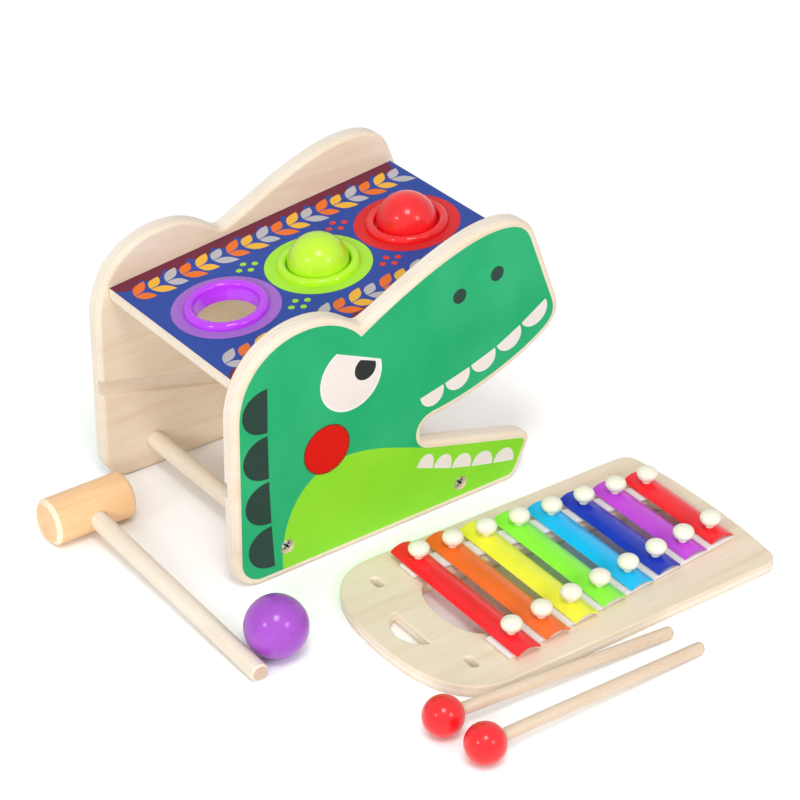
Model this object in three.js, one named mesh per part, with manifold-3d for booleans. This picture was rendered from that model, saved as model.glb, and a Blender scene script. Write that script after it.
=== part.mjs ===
// Wooden pounding bench with a slide-in xylophone, three balls, a hammer and two mallets.
// Millimetres, +Z up. X runs along the side panels, from the back of the head to the snout.
// Y runs from the front panel to the rear panel. The loose pieces lie on the floor round the bench.

import * as THREE from 'three';
import { mergeVertices } from 'three/addons/utils/BufferGeometryUtils.js';
import Module from 'manifold-3d';

const wasm = await Module();
wasm.setup();

// Fits
const SEAT_GAP = 0.3;
const SCREW_CLEARANCE = 0.4;
const OVERCUT = 2;
const MERGE_DISTANCE = 0.001;

// Side panels: plywood, cut to the outline of an animal's head with an open mouth
const PANEL_THICKNESS = 15;
const PANEL_EDGE_RADIUS = 3.5;
const INNER_WIDTH = 160;
const BACK_X = -139.5;
const FOOT_RADIUS = 23;

// Knots of the panel's outline in X and Z: the heading of the edge there in degrees, 0 along +X and
// 90 up, and how far the curve keeps that heading before and after the knot
const FOOT_END = { x: 109, z: 0, heading: 0, before: 0, after: 8.5 };
const CHIN = { x: 127.2, z: 27, heading: 66, before: 14.8, after: 6.4 };
const JAW_TOP = { x: 120, z: 39.6, heading: 164.4, before: 6.7, after: 0 };
const MOUTH_FLOOR = { x: 34, z: 63.7, heading: 164.4, before: 0, after: 6.8 };
const MOUTH_CORNER = { x: 24, z: 74, heading: 90, before: 5, after: 6.5 };
const MOUTH_ROOF = { x: 36, z: 85, heading: 5.5, before: 7, after: 30 };
const LIP = { x: 139, z: 121, heading: 36, before: 31, after: 13.5 };
const NOSE_TIP = { x: 147.2, z: 151, heading: 112, before: 14, after: 0 };
const NOSE_TOP = { x: 125, z: 206, heading: 112, before: 0, after: 14 };
const BROW = { x: 88, z: 226, heading: 180, before: 22, after: 45 };
const VALLEY = { x: -29, z: 183.5, heading: 180, before: 10, after: 8 };
const CROWN = { x: -77, z: 201, heading: 180, before: 30, after: 36 };
const BACK = { x: BACK_X, z: 138, heading: 270, before: 37, after: 0 };

// Top board: slopes up towards the snout and sits in stopped dados in both panels
const BOARD_THICKNESS = 10;
const BOARD_TILT = THREE.MathUtils.degToRad(6.56);
const BOARD_TOP_Z = 180;
const BOARD_BACK_MARGIN = 49;
const BOARD_SNOUT_MARGIN = 46;
const DADO_DEPTH = 5;

// Balls, and the plastic rings in the board that grip them
const BALL_DIAMETER = 45.5;
const RINGS = ['purple', 'green', 'red'];
const RING_PITCH = 81;
const RING_GRIP = 1.2;
const RING_MOUTH_PLAY = 2.3;
const RING_WALL = 3.4;
const RING_FLANGE = 5.7;
const RING_CREST = 5;
const RING_MOUTH_HEIGHT = 2.2;
const RING_DEPTH = 5;

// Cross dowels between the panels, each held by a screw at both ends
const DOWEL_DIAMETER = 14;
const DOWEL_SOCKET_DEPTH = 5;
const DOWEL_LEFT = { x: -95.5, z: 23.5 };
const DOWEL_RIGHT = { x: 62, z: 16 };
const SCREW_HEAD_DIAMETER = 9;
const SCREW_HEAD_HEIGHT = 3;
const SCREW_HEAD_RIM = 1;
const SCREW_SHANK_DIAMETER = 3.4;
const SCREW_LENGTH = 30;
const SCREW_RECESS_DIAMETER = 11.5;
const SCREW_RECESS_DEPTH = 4.5;

// Arched metal bars on felt strips, held by mushroom-headed pins
const BAR_COUNT = 8;
const BAR_PITCH = 28.2;
const BAR_ROW_SHIFT = 2;
const BAR_WIDTH = 20.2;
const BAR_RISE = 4;
const BAR_SHEET = 1.2;
const BAR_LONGEST = 148.5;
const BAR_STEP = 7;
const PIN_INSET_FIRST = 20.5;
const PIN_INSET_STEP = 0.85;
const PIN_HOLE_PLAY = 0.3;
const PIN_STEM_DIAMETER = 6.6;
const PIN_HEAD_DIAMETER = 15;
const PIN_HEAD_HEIGHT = 9.2;
const PIN_HEAD_LIFT = 2.2;
const PIN_SEAT_FLOOR = 2.5;
const FELT_THICKNESS = 3.5;
const FELT_WIDTH = 32;
const FELT_OVERHANG = 4.5;

// Xylophone board, and the grooves in the panels that it slides into
const XYLO_THICKNESS = 9;
const XYLO_EDGE_RADIUS = 1.6;
const XYLO_SIDE_PLAY = 1;
const XYLO_BACK_MARGIN = 76;
const XYLO_SNOUT_MARGIN = 28.6;
const XYLO_BOW = 53;
const XYLO_BOW_SIDE_EASE = 34;
const XYLO_BOW_TIP_EASE = 58;
const XYLO_END_BOW = 4.5;
const XYLO_CORNER = 15;
const XYLO_FRONT_GAP = 31.5;
const XYLO_X = 51;
const XYLO_TURN = THREE.MathUtils.degToRad(-1.5);
const GROOVE_DEPTH = 5.5;
const GROOVE_PLAY = 2.2;
const GROOVE_FALL = THREE.MathUtils.degToRad(14.5);
const GROOVE_MOUTH_Z = 83.5;
const GROOVE_END_X = 112;
const FINGER_SLOT_LENGTH = 42;
const FINGER_SLOT_WIDTH = 14;
const FINGER_SLOT_INSET = 16;
const CORD_SLOT_LENGTH = 12;
const CORD_SLOT_WIDTH = 6;
const CORD_SLOT_INSET = 41;
const CORD_SLOT_SPACING = 111;
const SOUND_HOLE_BACK_INSET = 54.5;
const SOUND_HOLE_SNOUT_INSET = 22;
const SOUND_HOLE_WIDE = 70;
const SOUND_HOLE_NARROW = 46;
const SOUND_HOLE_BOW = 16;

// Hammer
const HAMMER_HEAD_DIAMETER = 35.6;
const HAMMER_HEAD_LENGTH = 67;
const HAMMER_CHAMFER = 3;
const HAMMER_REACH = 224;
const HAMMER_HANDLE_DIAMETER = 14;
const HAMMER_SOCKET_PAST_CENTRE = 8;
const HAMMER_HANDLE_ROUND = 1.5;
const HAMMER_BACK_GAP = 9;
const HAMMER_Y = 133;

// Mallets, side by side in front of the xylophone
const MALLET_HEAD_DIAMETER = 29.2;
const MALLET_REACH = 193;
const MALLET_STICK_DIAMETER = 9;
const MALLET_SOCKET_PAST_CENTRE = 5;
const MALLET_STICK_ROUND = 3;
const MALLET_FRONT_GAP = 1.2;
const MALLET_HEAD_GAP = 8.7;
const MALLET_X = [-116, -111.2];
const MALLET_TURN = [THREE.MathUtils.degToRad(-3.4), THREE.MathUtils.degToRad(0.3)];

// Purple ball, rolled up beside the hammer's handle
const LOOSE_BALL_GAP = 1.5;
const LOOSE_BALL_END_INSET = 19.7;

// Colours and finishes
const FINISH = {
  plywood: { color: 0xe9d3ae, roughness: 0.6 },
  beech: { color: 0xeec58c, roughness: 0.5 },
  dowel: { color: 0xf0dfc2, roughness: 0.6 },
  board: { color: 0x2f4c9c, roughness: 0.45 },
  purple: { color: 0xa43ee0, roughness: 0.2 },
  green: { color: 0xb4ee2c, roughness: 0.2 },
  red: { color: 0xe8262a, roughness: 0.2 },
  felt: { color: 0xf4eeea, roughness: 0.95 },
  pin: { color: 0xf7f0d8, roughness: 0.3 },
  steel: { color: 0xc9c9c4, roughness: 0.3, metalness: 0.9 },
};
const BAR_FINISH = { roughness: 0.25, metalness: 0.2 };
// One colour for each note of the scale, so the octave has the first one's colour
const BAR_COLOURS = [0xe8262a, 0xf46a20, 0xf6ea2a, 0x8ae234, 0x2fb4f2, 0x203fae, 0xa843d0];

// Facets round a turned piece, along a curve, and down a ball for each one round it
const LARGE_SIDES = 32;
const MEDIUM_SIDES = 20;
const SMALL_SIDES = 10;
const CURVE_STEPS = 6;
const BAR_STEPS = 4;
const ROUND_STEPS = 3;
const EASE_STEPS = 2;
const BALL_ROWS_PER_SIDE = 0.65;

// Places that several pieces share
const REAR_INNER_Y = PANEL_THICKNESS + INNER_WIDTH;
const MIDDLE_Y = PANEL_THICKNESS + INNER_WIDTH / 2;
const DOWELS = { left: DOWEL_LEFT, right: DOWEL_RIGHT };
const BOARD_LENGTH = BOARD_BACK_MARGIN + (RINGS.length - 1) * RING_PITCH + BOARD_SNOUT_MARGIN;
const BOARD_CENTRE = (BOARD_SNOUT_MARGIN - BOARD_BACK_MARGIN) / 2;
const RING_THROAT_RADIUS = (BALL_DIAMETER - RING_GRIP) / 2;
const RING_MOUTH_RADIUS = (BALL_DIAMETER + RING_MOUTH_PLAY) / 2;
const RING_SLEEVE_RADIUS = RING_THROAT_RADIUS + RING_WALL;
const XYLO_LENGTH = XYLO_BACK_MARGIN + (BAR_COUNT - 1) * BAR_PITCH + XYLO_SNOUT_MARGIN;
const XYLO_WIDTH = INNER_WIDTH + 2 * (GROOVE_DEPTH - XYLO_SIDE_PLAY);
const XYLO_Y = -XYLO_FRONT_GAP - XYLO_WIDTH / 2;
const BAR_BASE_Z = XYLO_THICKNESS + FELT_THICKNESS + 2 * SEAT_GAP;
const PIN_SEAT_DEPTH = XYLO_THICKNESS - PIN_SEAT_FLOOR;
const HAMMER_X = BACK_X - HAMMER_BACK_GAP - HAMMER_HEAD_LENGTH / 2;

// Solid for cutting, from a closed geometry: corners merged, empty slivers dropped, faces outwards
function toSolid(geometry) {
  const bare = geometry.clone();
  bare.deleteAttribute('normal');
  bare.deleteAttribute('uv');
  const merged = mergeVertices(bare, MERGE_DISTANCE);
  const position = merged.attributes.position;
  const index = merged.index.array;
  const corners = [new THREE.Vector3(), new THREE.Vector3(), new THREE.Vector3()];
  const triangles = [];
  let volume = 0;
  for (let i = 0; i < index.length; i += 3) {
    const triangle = index.slice(i, i + 3);
    if (new Set(triangle).size < 3) continue;
    const [a, b, c] = corners.map((corner, k) => corner.fromBufferAttribute(position, triangle[k]));
    volume += a.dot(b.cross(c));
    triangles.push(...triangle);
  }
  if (volume < 0) triangles.reverse();
  return new wasm.Manifold(new wasm.Mesh({
    numProp: 3,
    vertProperties: Float32Array.from(position.array),
    triVerts: Uint32Array.from(triangles),
  }));
}

function toGeometry(solid) {
  const mesh = solid.getMesh();
  const geometry = new THREE.BufferGeometry();
  geometry.setAttribute('position', new THREE.BufferAttribute(Float32Array.from(mesh.vertProperties), 3));
  geometry.setIndex(Array.from(mesh.triVerts));
  geometry.computeVertexNormals();
  return geometry;
}

// The first geometry with all the others cut out of it
function carve(body, ...tools) {
  return toGeometry(tools.reduce((left, tool) => left.subtract(toSolid(tool)), toSolid(body)));
}

function piece(name, geometry, finish) {
  const material = new THREE.MeshStandardMaterial({ metalness: 0, ...finish });
  const mesh = new THREE.Mesh(toGeometry(toSolid(geometry)), material);
  mesh.name = name;
  return mesh;
}

// Round bar along +Z from 0 to its length
function rod(radius, length, sides = MEDIUM_SIDES) {
  const cylinder = new THREE.CylinderGeometry(radius, radius, length, sides);
  return cylinder.rotateX(Math.PI / 2).translate(0, 0, length / 2);
}

// Profile of [radius, height] points turned about the Z axis
function turned(profile, sides) {
  const points = profile.map(([radius, height]) => new THREE.Vector2(radius, height));
  return new THREE.LatheGeometry(points, sides).rotateX(Math.PI / 2);
}

// Profile points of a quarter ellipse, leaving the first point along the height
function quarterRound([r0, h0], [r1, h1], steps) {
  return Array.from({ length: steps + 1 }, (_, i) => {
    const angle = (Math.PI / 2) * (i / steps);
    return [r0 + (r1 - r0) * (1 - Math.cos(angle)), h0 + (h1 - h0) * Math.sin(angle)];
  });
}

// Outline extruded upwards from Z 0, its edges rounded over
function slab(shape, height, edgeRadius) {
  const rounded = new THREE.ExtrudeGeometry(shape, {
    depth: height - 2 * edgeRadius,
    bevelThickness: edgeRadius,
    bevelSize: edgeRadius,
    bevelOffset: -edgeRadius,
    bevelSegments: EASE_STEPS,
    curveSegments: CURVE_STEPS,
  });
  return rounded.translate(0, 0, edgeRadius);
}

// Outline extruded upwards between two heights, with sharp edges
function prism(shape, bottom, top, curveSegments = CURVE_STEPS) {
  const options = { depth: top - bottom, bevelEnabled: false, curveSegments };
  return new THREE.ExtrudeGeometry(shape, options).translate(0, 0, bottom);
}

// A piece laid out with its thickness along Z, stood up so that its Z becomes -Y
function stoodUp(geometry, y) {
  return geometry.rotateX(Math.PI / 2).translate(0, y, 0);
}

// Side panel outline in the X-Z plane, counter-clockwise from the foot
function headOutline() {
  const handle = ({ x, z, heading }, reach) => {
    const angle = THREE.MathUtils.degToRad(heading);
    return [x + reach * Math.cos(angle), z + reach * Math.sin(angle)];
  };
  const shape = new THREE.Shape();
  const curve = (from, to) => {
    shape.bezierCurveTo(...handle(from, from.after), ...handle(to, -to.before), to.x, to.z);
  };
  shape.moveTo(BACK_X + FOOT_RADIUS, 0);
  shape.lineTo(FOOT_END.x, FOOT_END.z);
  curve(FOOT_END, CHIN);
  curve(CHIN, JAW_TOP);
  shape.lineTo(MOUTH_FLOOR.x, MOUTH_FLOOR.z);
  curve(MOUTH_FLOOR, MOUTH_CORNER);
  curve(MOUTH_CORNER, MOUTH_ROOF);
  curve(MOUTH_ROOF, LIP);
  curve(LIP, NOSE_TIP);
  shape.lineTo(NOSE_TOP.x, NOSE_TOP.z);
  curve(NOSE_TOP, BROW);
  curve(BROW, VALLEY);
  curve(VALLEY, CROWN);
  curve(CROWN, BACK);
  shape.lineTo(BACK_X, FOOT_RADIUS);
  shape.absarc(BACK_X + FOOT_RADIUS, FOOT_RADIUS, FOOT_RADIUS, Math.PI, 1.5 * Math.PI, false);
  return shape;
}

// Straight cut into a panel's inner face, its middle at (x, z), rising by the angle towards +X
function slopedCut({ innerY, outward }, depth, x, z, angle, length, height) {
  const reach = depth + OVERCUT;
  const cut = new THREE.BoxGeometry(length, reach, height);
  return cut.rotateY(-angle).translate(x, innerY + outward * (depth - reach / 2), z);
}

// Cut for the edge of the sloping top board
function dadoCut(side) {
  const middle = -BOARD_THICKNESS / 2;
  const x = BOARD_CENTRE * Math.cos(BOARD_TILT) - middle * Math.sin(BOARD_TILT);
  const z = BOARD_TOP_Z + BOARD_CENTRE * Math.sin(BOARD_TILT) + middle * Math.cos(BOARD_TILT);
  const length = BOARD_LENGTH + 2 * SEAT_GAP;
  return slopedCut(side, DADO_DEPTH, x, z, BOARD_TILT, length, BOARD_THICKNESS + 2 * SEAT_GAP);
}

// Groove for the long edge of the xylophone, open at the back and stopped before the chin
function grooveCut(side) {
  const startX = BACK_X - OVERCUT;
  const x = (startX + GROOVE_END_X) / 2;
  const z = GROOVE_MOUTH_Z - (x - BACK_X) * Math.tan(GROOVE_FALL);
  const length = (GROOVE_END_X - startX) / Math.cos(GROOVE_FALL);
  return slopedCut(side, GROOVE_DEPTH, x, z, -GROOVE_FALL, length, XYLO_THICKNESS + GROOVE_PLAY);
}

// Round cut along Y between two Y values
function roundCut(diameter, { x, z }, fromY, toY) {
  const tool = rod(diameter / 2, Math.abs(toY - fromY));
  return tool.rotateX(Math.PI / 2).translate(x, Math.max(fromY, toY), z);
}

// Panel with its inner face at innerY and its outer face the way that outward says, +1 or -1 along Y
function sidePanel(side) {
  const { innerY, outward } = side;
  const outerY = innerY + outward * PANEL_THICKNESS;
  const body = stoodUp(slab(headOutline(), PANEL_THICKNESS, PANEL_EDGE_RADIUS), Math.max(innerY, outerY));
  const cuts = [dadoCut(side), grooveCut(side)];
  for (const axis of Object.values(DOWELS)) {
    const socketY = innerY + outward * DOWEL_SOCKET_DEPTH;
    const recessY = outerY - outward * SCREW_RECESS_DEPTH;
    cuts.push(roundCut(DOWEL_DIAMETER + 2 * SEAT_GAP, axis, innerY - outward * OVERCUT, socketY));
    cuts.push(roundCut(SCREW_SHANK_DIAMETER + 2 * SCREW_CLEARANCE, axis, innerY, outerY));
    cuts.push(roundCut(SCREW_RECESS_DIAMETER, axis, recessY, outerY + outward * OVERCUT));
  }
  return carve(body, ...cuts);
}

// Cross dowel along Y, with a pilot hole for a screw in each end
function crossDowel() {
  const length = INNER_WIDTH + 2 * (DOWEL_SOCKET_DEPTH - SEAT_GAP);
  const web = PANEL_THICKNESS - SCREW_RECESS_DEPTH - DOWEL_SOCKET_DEPTH;
  const pilotDepth = SCREW_LENGTH - web + SCREW_CLEARANCE;
  const pilot = rod(SCREW_SHANK_DIAMETER / 2 + SCREW_CLEARANCE, pilotDepth + OVERCUT, SMALL_SIDES);
  const dowel = carve(
    rod(DOWEL_DIAMETER / 2, length),
    pilot.clone().translate(0, 0, -OVERCUT),
    pilot.clone().translate(0, 0, length - pilotDepth),
  );
  return dowel.rotateX(-Math.PI / 2).translate(0, MIDDLE_Y - length / 2, 0);
}

// Screw along Z: the seat of its domed head at Z 0, the pointed shank below
function screw() {
  const head = SCREW_HEAD_DIAMETER / 2;
  const shank = SCREW_SHANK_DIAMETER / 2;
  const dome = quarterRound([head, SCREW_HEAD_RIM], [0, SCREW_HEAD_HEIGHT], EASE_STEPS);
  const point = [[0, -SCREW_LENGTH], [shank, shank - SCREW_LENGTH]];
  return turned([...point, [shank, 0], [head, 0], ...dome], SMALL_SIDES);
}

// Place of a ring along the board, from the board's own origin
function ringPlace(i) {
  return (i - (RINGS.length - 1) / 2) * RING_PITCH;
}

// Top board lying flat, its top face at Z 0, with a hole for each ring
function topBoard() {
  const width = INNER_WIDTH + 2 * (DADO_DEPTH - SEAT_GAP);
  const board = new THREE.BoxGeometry(BOARD_LENGTH, width, BOARD_THICKNESS);
  board.translate(BOARD_CENTRE, 0, -BOARD_THICKNESS / 2);
  const holes = RINGS.map((_, i) => {
    const hole = rod(RING_SLEEVE_RADIUS + SEAT_GAP, BOARD_THICKNESS + 2 * OVERCUT, LARGE_SIDES);
    return hole.translate(ringPlace(i), 0, -BOARD_THICKNESS - OVERCUT);
  });
  return carve(board, ...holes);
}

// Plastic ring: a rounded flange on the board, and a sleeve that narrows down to the throat
function gripRing() {
  const flange = RING_SLEEVE_RADIUS + RING_FLANGE;
  const crest = (flange + RING_MOUTH_RADIUS) / 2;
  const outside = quarterRound([flange, SEAT_GAP], [crest, RING_CREST], ROUND_STEPS);
  const mouth = [RING_MOUTH_RADIUS, RING_MOUTH_HEIGHT];
  const inside = quarterRound(mouth, [crest, RING_CREST], EASE_STEPS).reverse();
  const profile = [
    [RING_SLEEVE_RADIUS, SEAT_GAP],
    ...outside,
    ...inside.slice(1),
    [RING_THROAT_RADIUS, -RING_DEPTH],
    [RING_SLEEVE_RADIUS, -RING_DEPTH],
    [RING_SLEEVE_RADIUS, SEAT_GAP],
  ];
  return turned(profile, LARGE_SIDES);
}

// Height of a ball's centre above the board where the ring's narrowing wall stops it
function seatedBallHeight() {
  const taper = Math.atan2(RING_MOUTH_RADIUS - RING_THROAT_RADIUS, RING_MOUTH_HEIGHT + RING_DEPTH);
  const reach = BALL_DIAMETER / 2 + SEAT_GAP;
  return (reach - RING_THROAT_RADIUS * Math.cos(taper)) / Math.sin(taper) - RING_DEPTH;
}

function ball(diameter, sides) {
  const rows = Math.round(BALL_ROWS_PER_SIDE * sides);
  return new THREE.SphereGeometry(diameter / 2, sides, rows).rotateX(Math.PI / 2);
}

// Xylophone board outline: a full bow at the end to hold, a slight bow at the other
function xyloOutline() {
  const side = XYLO_WIDTH / 2;
  const half = XYLO_LENGTH / 2;
  const shoulder = XYLO_BOW - half;
  const endX = half - XYLO_END_BOW;
  const shape = new THREE.Shape();
  shape.moveTo(shoulder, -side);
  shape.lineTo(endX - XYLO_CORNER, -side);
  shape.quadraticCurveTo(endX, -side, endX, XYLO_CORNER - side);
  shape.quadraticCurveTo(half, -side / 2, half, 0);
  shape.quadraticCurveTo(half, side / 2, endX, side - XYLO_CORNER);
  shape.quadraticCurveTo(endX, side, endX - XYLO_CORNER, side);
  shape.lineTo(shoulder, side);
  shape.bezierCurveTo(shoulder - XYLO_BOW_SIDE_EASE, side, -half, XYLO_BOW_TIP_EASE, -half, 0);
  shape.bezierCurveTo(-half, -XYLO_BOW_TIP_EASE, shoulder - XYLO_BOW_SIDE_EASE, -side, shoulder, -side);
  return shape;
}

// D-shaped finger slot: a straight side, and an arc towards the bowed end
function fingerSlot() {
  const half = FINGER_SLOT_LENGTH / 2;
  const radius = (half ** 2 + FINGER_SLOT_WIDTH ** 2) / (2 * FINGER_SLOT_WIDTH);
  const centreX = FINGER_SLOT_INSET - XYLO_LENGTH / 2 + radius;
  const spread = Math.atan2(half, radius - FINGER_SLOT_WIDTH);
  const shape = new THREE.Shape();
  shape.absarc(centreX, 0, radius, Math.PI - spread, Math.PI + spread, false);
  shape.closePath();
  return shape;
}

// Slot with round ends, lying across the board
function cordSlot(y) {
  const x = CORD_SLOT_INSET - XYLO_LENGTH / 2;
  const radius = CORD_SLOT_WIDTH / 2;
  const straight = (CORD_SLOT_LENGTH - CORD_SLOT_WIDTH) / 2;
  const shape = new THREE.Shape();
  shape.absarc(x, y + straight, radius, 0, Math.PI, false);
  shape.absarc(x, y - straight, radius, Math.PI, 2 * Math.PI, false);
  return shape;
}

// Opening under the bars, narrowing as they shorten, with bowed ends
function soundHole() {
  const back = SOUND_HOLE_BACK_INSET - XYLO_LENGTH / 2 + SOUND_HOLE_BOW;
  const snout = XYLO_LENGTH / 2 - SOUND_HOLE_SNOUT_INSET - SOUND_HOLE_BOW;
  const quarter = Math.PI / 2;
  const shape = new THREE.Shape();
  const bowedEnd = (x, width, from) => {
    const to = from + 2 * quarter;
    shape.absellipse(x, BAR_ROW_SHIFT, SOUND_HOLE_BOW, width / 2, from, to, false, 0);
  };
  bowedEnd(back, SOUND_HOLE_WIDE, quarter);
  bowedEnd(snout, SOUND_HOLE_NARROW, -quarter);
  return shape;
}

// Each bar's place along the board, its length, and how far its pins stand from the row's middle
function barLayout() {
  return Array.from({ length: BAR_COUNT }, (_, i) => {
    const length = BAR_LONGEST - i * BAR_STEP;
    const x = XYLO_BACK_MARGIN - XYLO_LENGTH / 2 + i * BAR_PITCH;
    return { x, length, pinY: length / 2 - (PIN_INSET_FIRST - i * PIN_INSET_STEP) };
  });
}

function pinHole(x, y, bottom, top) {
  return rod(PIN_STEM_DIAMETER / 2 + PIN_HOLE_PLAY, top - bottom, SMALL_SIDES).translate(x, y, bottom);
}

function xyloBoard(bars) {
  const through = [
    fingerSlot(),
    cordSlot(BAR_ROW_SHIFT + CORD_SLOT_SPACING / 2),
    cordSlot(BAR_ROW_SHIFT - CORD_SLOT_SPACING / 2),
    soundHole(),
  ];
  const top = XYLO_THICKNESS + OVERCUT;
  const cuts = through.map((shape) => prism(shape, -OVERCUT, top));
  const seat = PIN_SEAT_FLOOR;
  for (const { x, pinY } of bars) {
    cuts.push(pinHole(x, BAR_ROW_SHIFT + pinY, seat, top));
    cuts.push(pinHole(x, BAR_ROW_SHIFT - pinY, seat, top));
  }
  return carve(slab(xyloOutline(), XYLO_THICKNESS, XYLO_EDGE_RADIUS), ...cuts);
}

// Felt strip under one row of pins; side is +1 for the far row and -1 for the near row
function feltStrip(bars, side) {
  const first = bars[0];
  const last = bars[bars.length - 1];
  const rowY = ({ pinY }) => BAR_ROW_SHIFT + side * pinY;
  const slope = (rowY(last) - rowY(first)) / (last.x - first.x);
  const overhang = BAR_WIDTH / 2 + FELT_OVERHANG;
  const start = { x: first.x - overhang, y: rowY(first) - slope * overhang };
  const end = { x: last.x + overhang, y: rowY(last) + slope * overhang };
  const shape = new THREE.Shape();
  shape.moveTo(start.x, start.y - FELT_WIDTH / 2);
  shape.lineTo(end.x, end.y - FELT_WIDTH / 2);
  shape.lineTo(end.x, end.y + FELT_WIDTH / 2);
  shape.lineTo(start.x, start.y + FELT_WIDTH / 2);
  shape.closePath();
  const bottom = XYLO_THICKNESS + SEAT_GAP;
  const top = bottom + FELT_THICKNESS;
  const holes = bars.map((bar) => pinHole(bar.x, rowY(bar), bottom - OVERCUT, top + OVERCUT));
  return carve(prism(shape, bottom, top), ...holes);
}

// Section of a bar: a band of sheet on a circular arc, its middle over X 0 and its lower edges on Z 0
function barSection() {
  const outer = (BAR_WIDTH ** 2 / 4 + BAR_RISE ** 2) / (2 * BAR_RISE);
  const inner = outer - BAR_SHEET;
  const spread = Math.asin(BAR_WIDTH / 2 / outer);
  const centre = -inner * Math.cos(spread);
  const right = Math.PI / 2 - spread;
  const left = Math.PI / 2 + spread;
  const shape = new THREE.Shape();
  shape.absarc(0, centre, outer, right, left, false);
  shape.absarc(0, centre, inner, left, right, true);
  return { shape, crest: centre + outer };
}

// Arched bar with its length along Y and a hole for each pin
function bar({ shape, crest }, { length, pinY }) {
  const sheet = stoodUp(prism(shape, -length / 2, length / 2, BAR_STEPS), 0);
  const holes = [pinY, -pinY].map((y) => pinHole(0, y, -OVERCUT, crest + OVERCUT));
  return carve(sheet, ...holes);
}

// Mushroom pin: a flattened round head on a stem that is pushed into the board, whose top face is Z 0
function pin(barCrest) {
  const stem = PIN_STEM_DIAMETER / 2;
  const head = PIN_HEAD_DIAMETER / 2;
  const tip = SEAT_GAP - PIN_SEAT_DEPTH;
  const under = barCrest + PIN_HEAD_LIFT;
  const middle = under + PIN_HEAD_HEIGHT / 2;
  const below = quarterRound([head, middle], [stem, under], EASE_STEPS).reverse();
  const above = quarterRound([head, middle], [0, under + PIN_HEAD_HEIGHT], ROUND_STEPS);
  return turned([[0, tip], [stem, tip], ...below, ...above.slice(1)], SMALL_SIDES);
}

function hammerHead() {
  const radius = HAMMER_HEAD_DIAMETER / 2;
  const half = HAMMER_HEAD_LENGTH / 2;
  const face = radius - HAMMER_CHAMFER;
  const edge = half - HAMMER_CHAMFER;
  const profile = [[0, -half], [face, -half], [radius, -edge], [radius, edge], [face, half], [0, half]];
  const socket = rod(HAMMER_HANDLE_DIAMETER / 2 + SEAT_GAP, HAMMER_SOCKET_PAST_CENTRE + radius + OVERCUT);
  socket.rotateX(Math.PI / 2).translate(0, HAMMER_SOCKET_PAST_CENTRE, 0);
  return carve(turned(profile, LARGE_SIDES).rotateY(Math.PI / 2), socket);
}

// Round stick along +Z from 0 to its length, with eased ends
function stick(radius, length, ease, sides) {
  const tip = quarterRound([radius, length - ease], [radius - ease, length], EASE_STEPS);
  const start = tip.map(([r, h]) => [r, length - h]).reverse();
  return turned([[0, 0], ...start, ...tip, [0, length]], sides);
}

function hammerHandle() {
  const start = SEAT_GAP - HAMMER_SOCKET_PAST_CENTRE;
  const radius = HAMMER_HANDLE_DIAMETER / 2;
  const handle = stick(radius, HAMMER_REACH - start, HAMMER_HANDLE_ROUND, MEDIUM_SIDES);
  return handle.translate(0, 0, start).rotateX(Math.PI / 2);
}

function malletHead() {
  const reach = MALLET_SOCKET_PAST_CENTRE + MALLET_HEAD_DIAMETER / 2 + OVERCUT;
  const socket = rod(MALLET_STICK_DIAMETER / 2 + SEAT_GAP, reach, SMALL_SIDES);
  socket.rotateY(Math.PI / 2).translate(-MALLET_SOCKET_PAST_CENTRE, 0, 0);
  return carve(ball(MALLET_HEAD_DIAMETER, MEDIUM_SIDES), socket);
}

function malletStick() {
  const start = SEAT_GAP - MALLET_SOCKET_PAST_CENTRE;
  const shaft = stick(MALLET_STICK_DIAMETER / 2, MALLET_REACH - start, MALLET_STICK_ROUND, SMALL_SIDES);
  return shaft.translate(0, 0, start).rotateY(Math.PI / 2);
}

// Bench: two panels, the sloping board with its rings and seated balls, dowels and screws
function buildBench() {
  const bench = new THREE.Group();
  bench.add(piece('side_panel_front', sidePanel({ innerY: PANEL_THICKNESS, outward: -1 }), FINISH.plywood));
  bench.add(piece('side_panel_rear', sidePanel({ innerY: REAR_INNER_Y, outward: 1 }), FINISH.plywood));

  const deck = new THREE.Group();
  deck.position.set(0, MIDDLE_Y, BOARD_TOP_Z);
  deck.rotation.y = -BOARD_TILT;
  deck.add(piece('top_board', topBoard(), FINISH.board));
  RINGS.forEach((colour, i) => {
    const along = ringPlace(i);
    const ring = piece(`ring_${colour}`, gripRing(), FINISH[colour]);
    ring.position.x = along;
    deck.add(ring);
    if (colour === 'purple') return;
    const seated = piece(`ball_${colour}`, ball(BALL_DIAMETER, MEDIUM_SIDES), FINISH[colour]);
    seated.position.set(along, 0, seatedBallHeight());
    deck.add(seated);
  });
  bench.add(deck);

  const headSeat = SCREW_RECESS_DEPTH - SEAT_GAP;
  for (const [side, { x, z }] of Object.entries(DOWELS)) {
    const dowel = piece(`dowel_${side}`, crossDowel(), FINISH.dowel);
    dowel.position.set(x, 0, z);
    const front = piece(`screw_front_${side}`, screw(), FINISH.steel);
    front.rotation.x = Math.PI / 2;
    front.position.set(x, headSeat, z);
    const rear = piece(`screw_rear_${side}`, screw(), FINISH.steel);
    rear.rotation.x = -Math.PI / 2;
    rear.position.set(x, REAR_INNER_Y + PANEL_THICKNESS - headSeat, z);
    bench.add(dowel, front, rear);
  }
  return bench;
}

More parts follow.
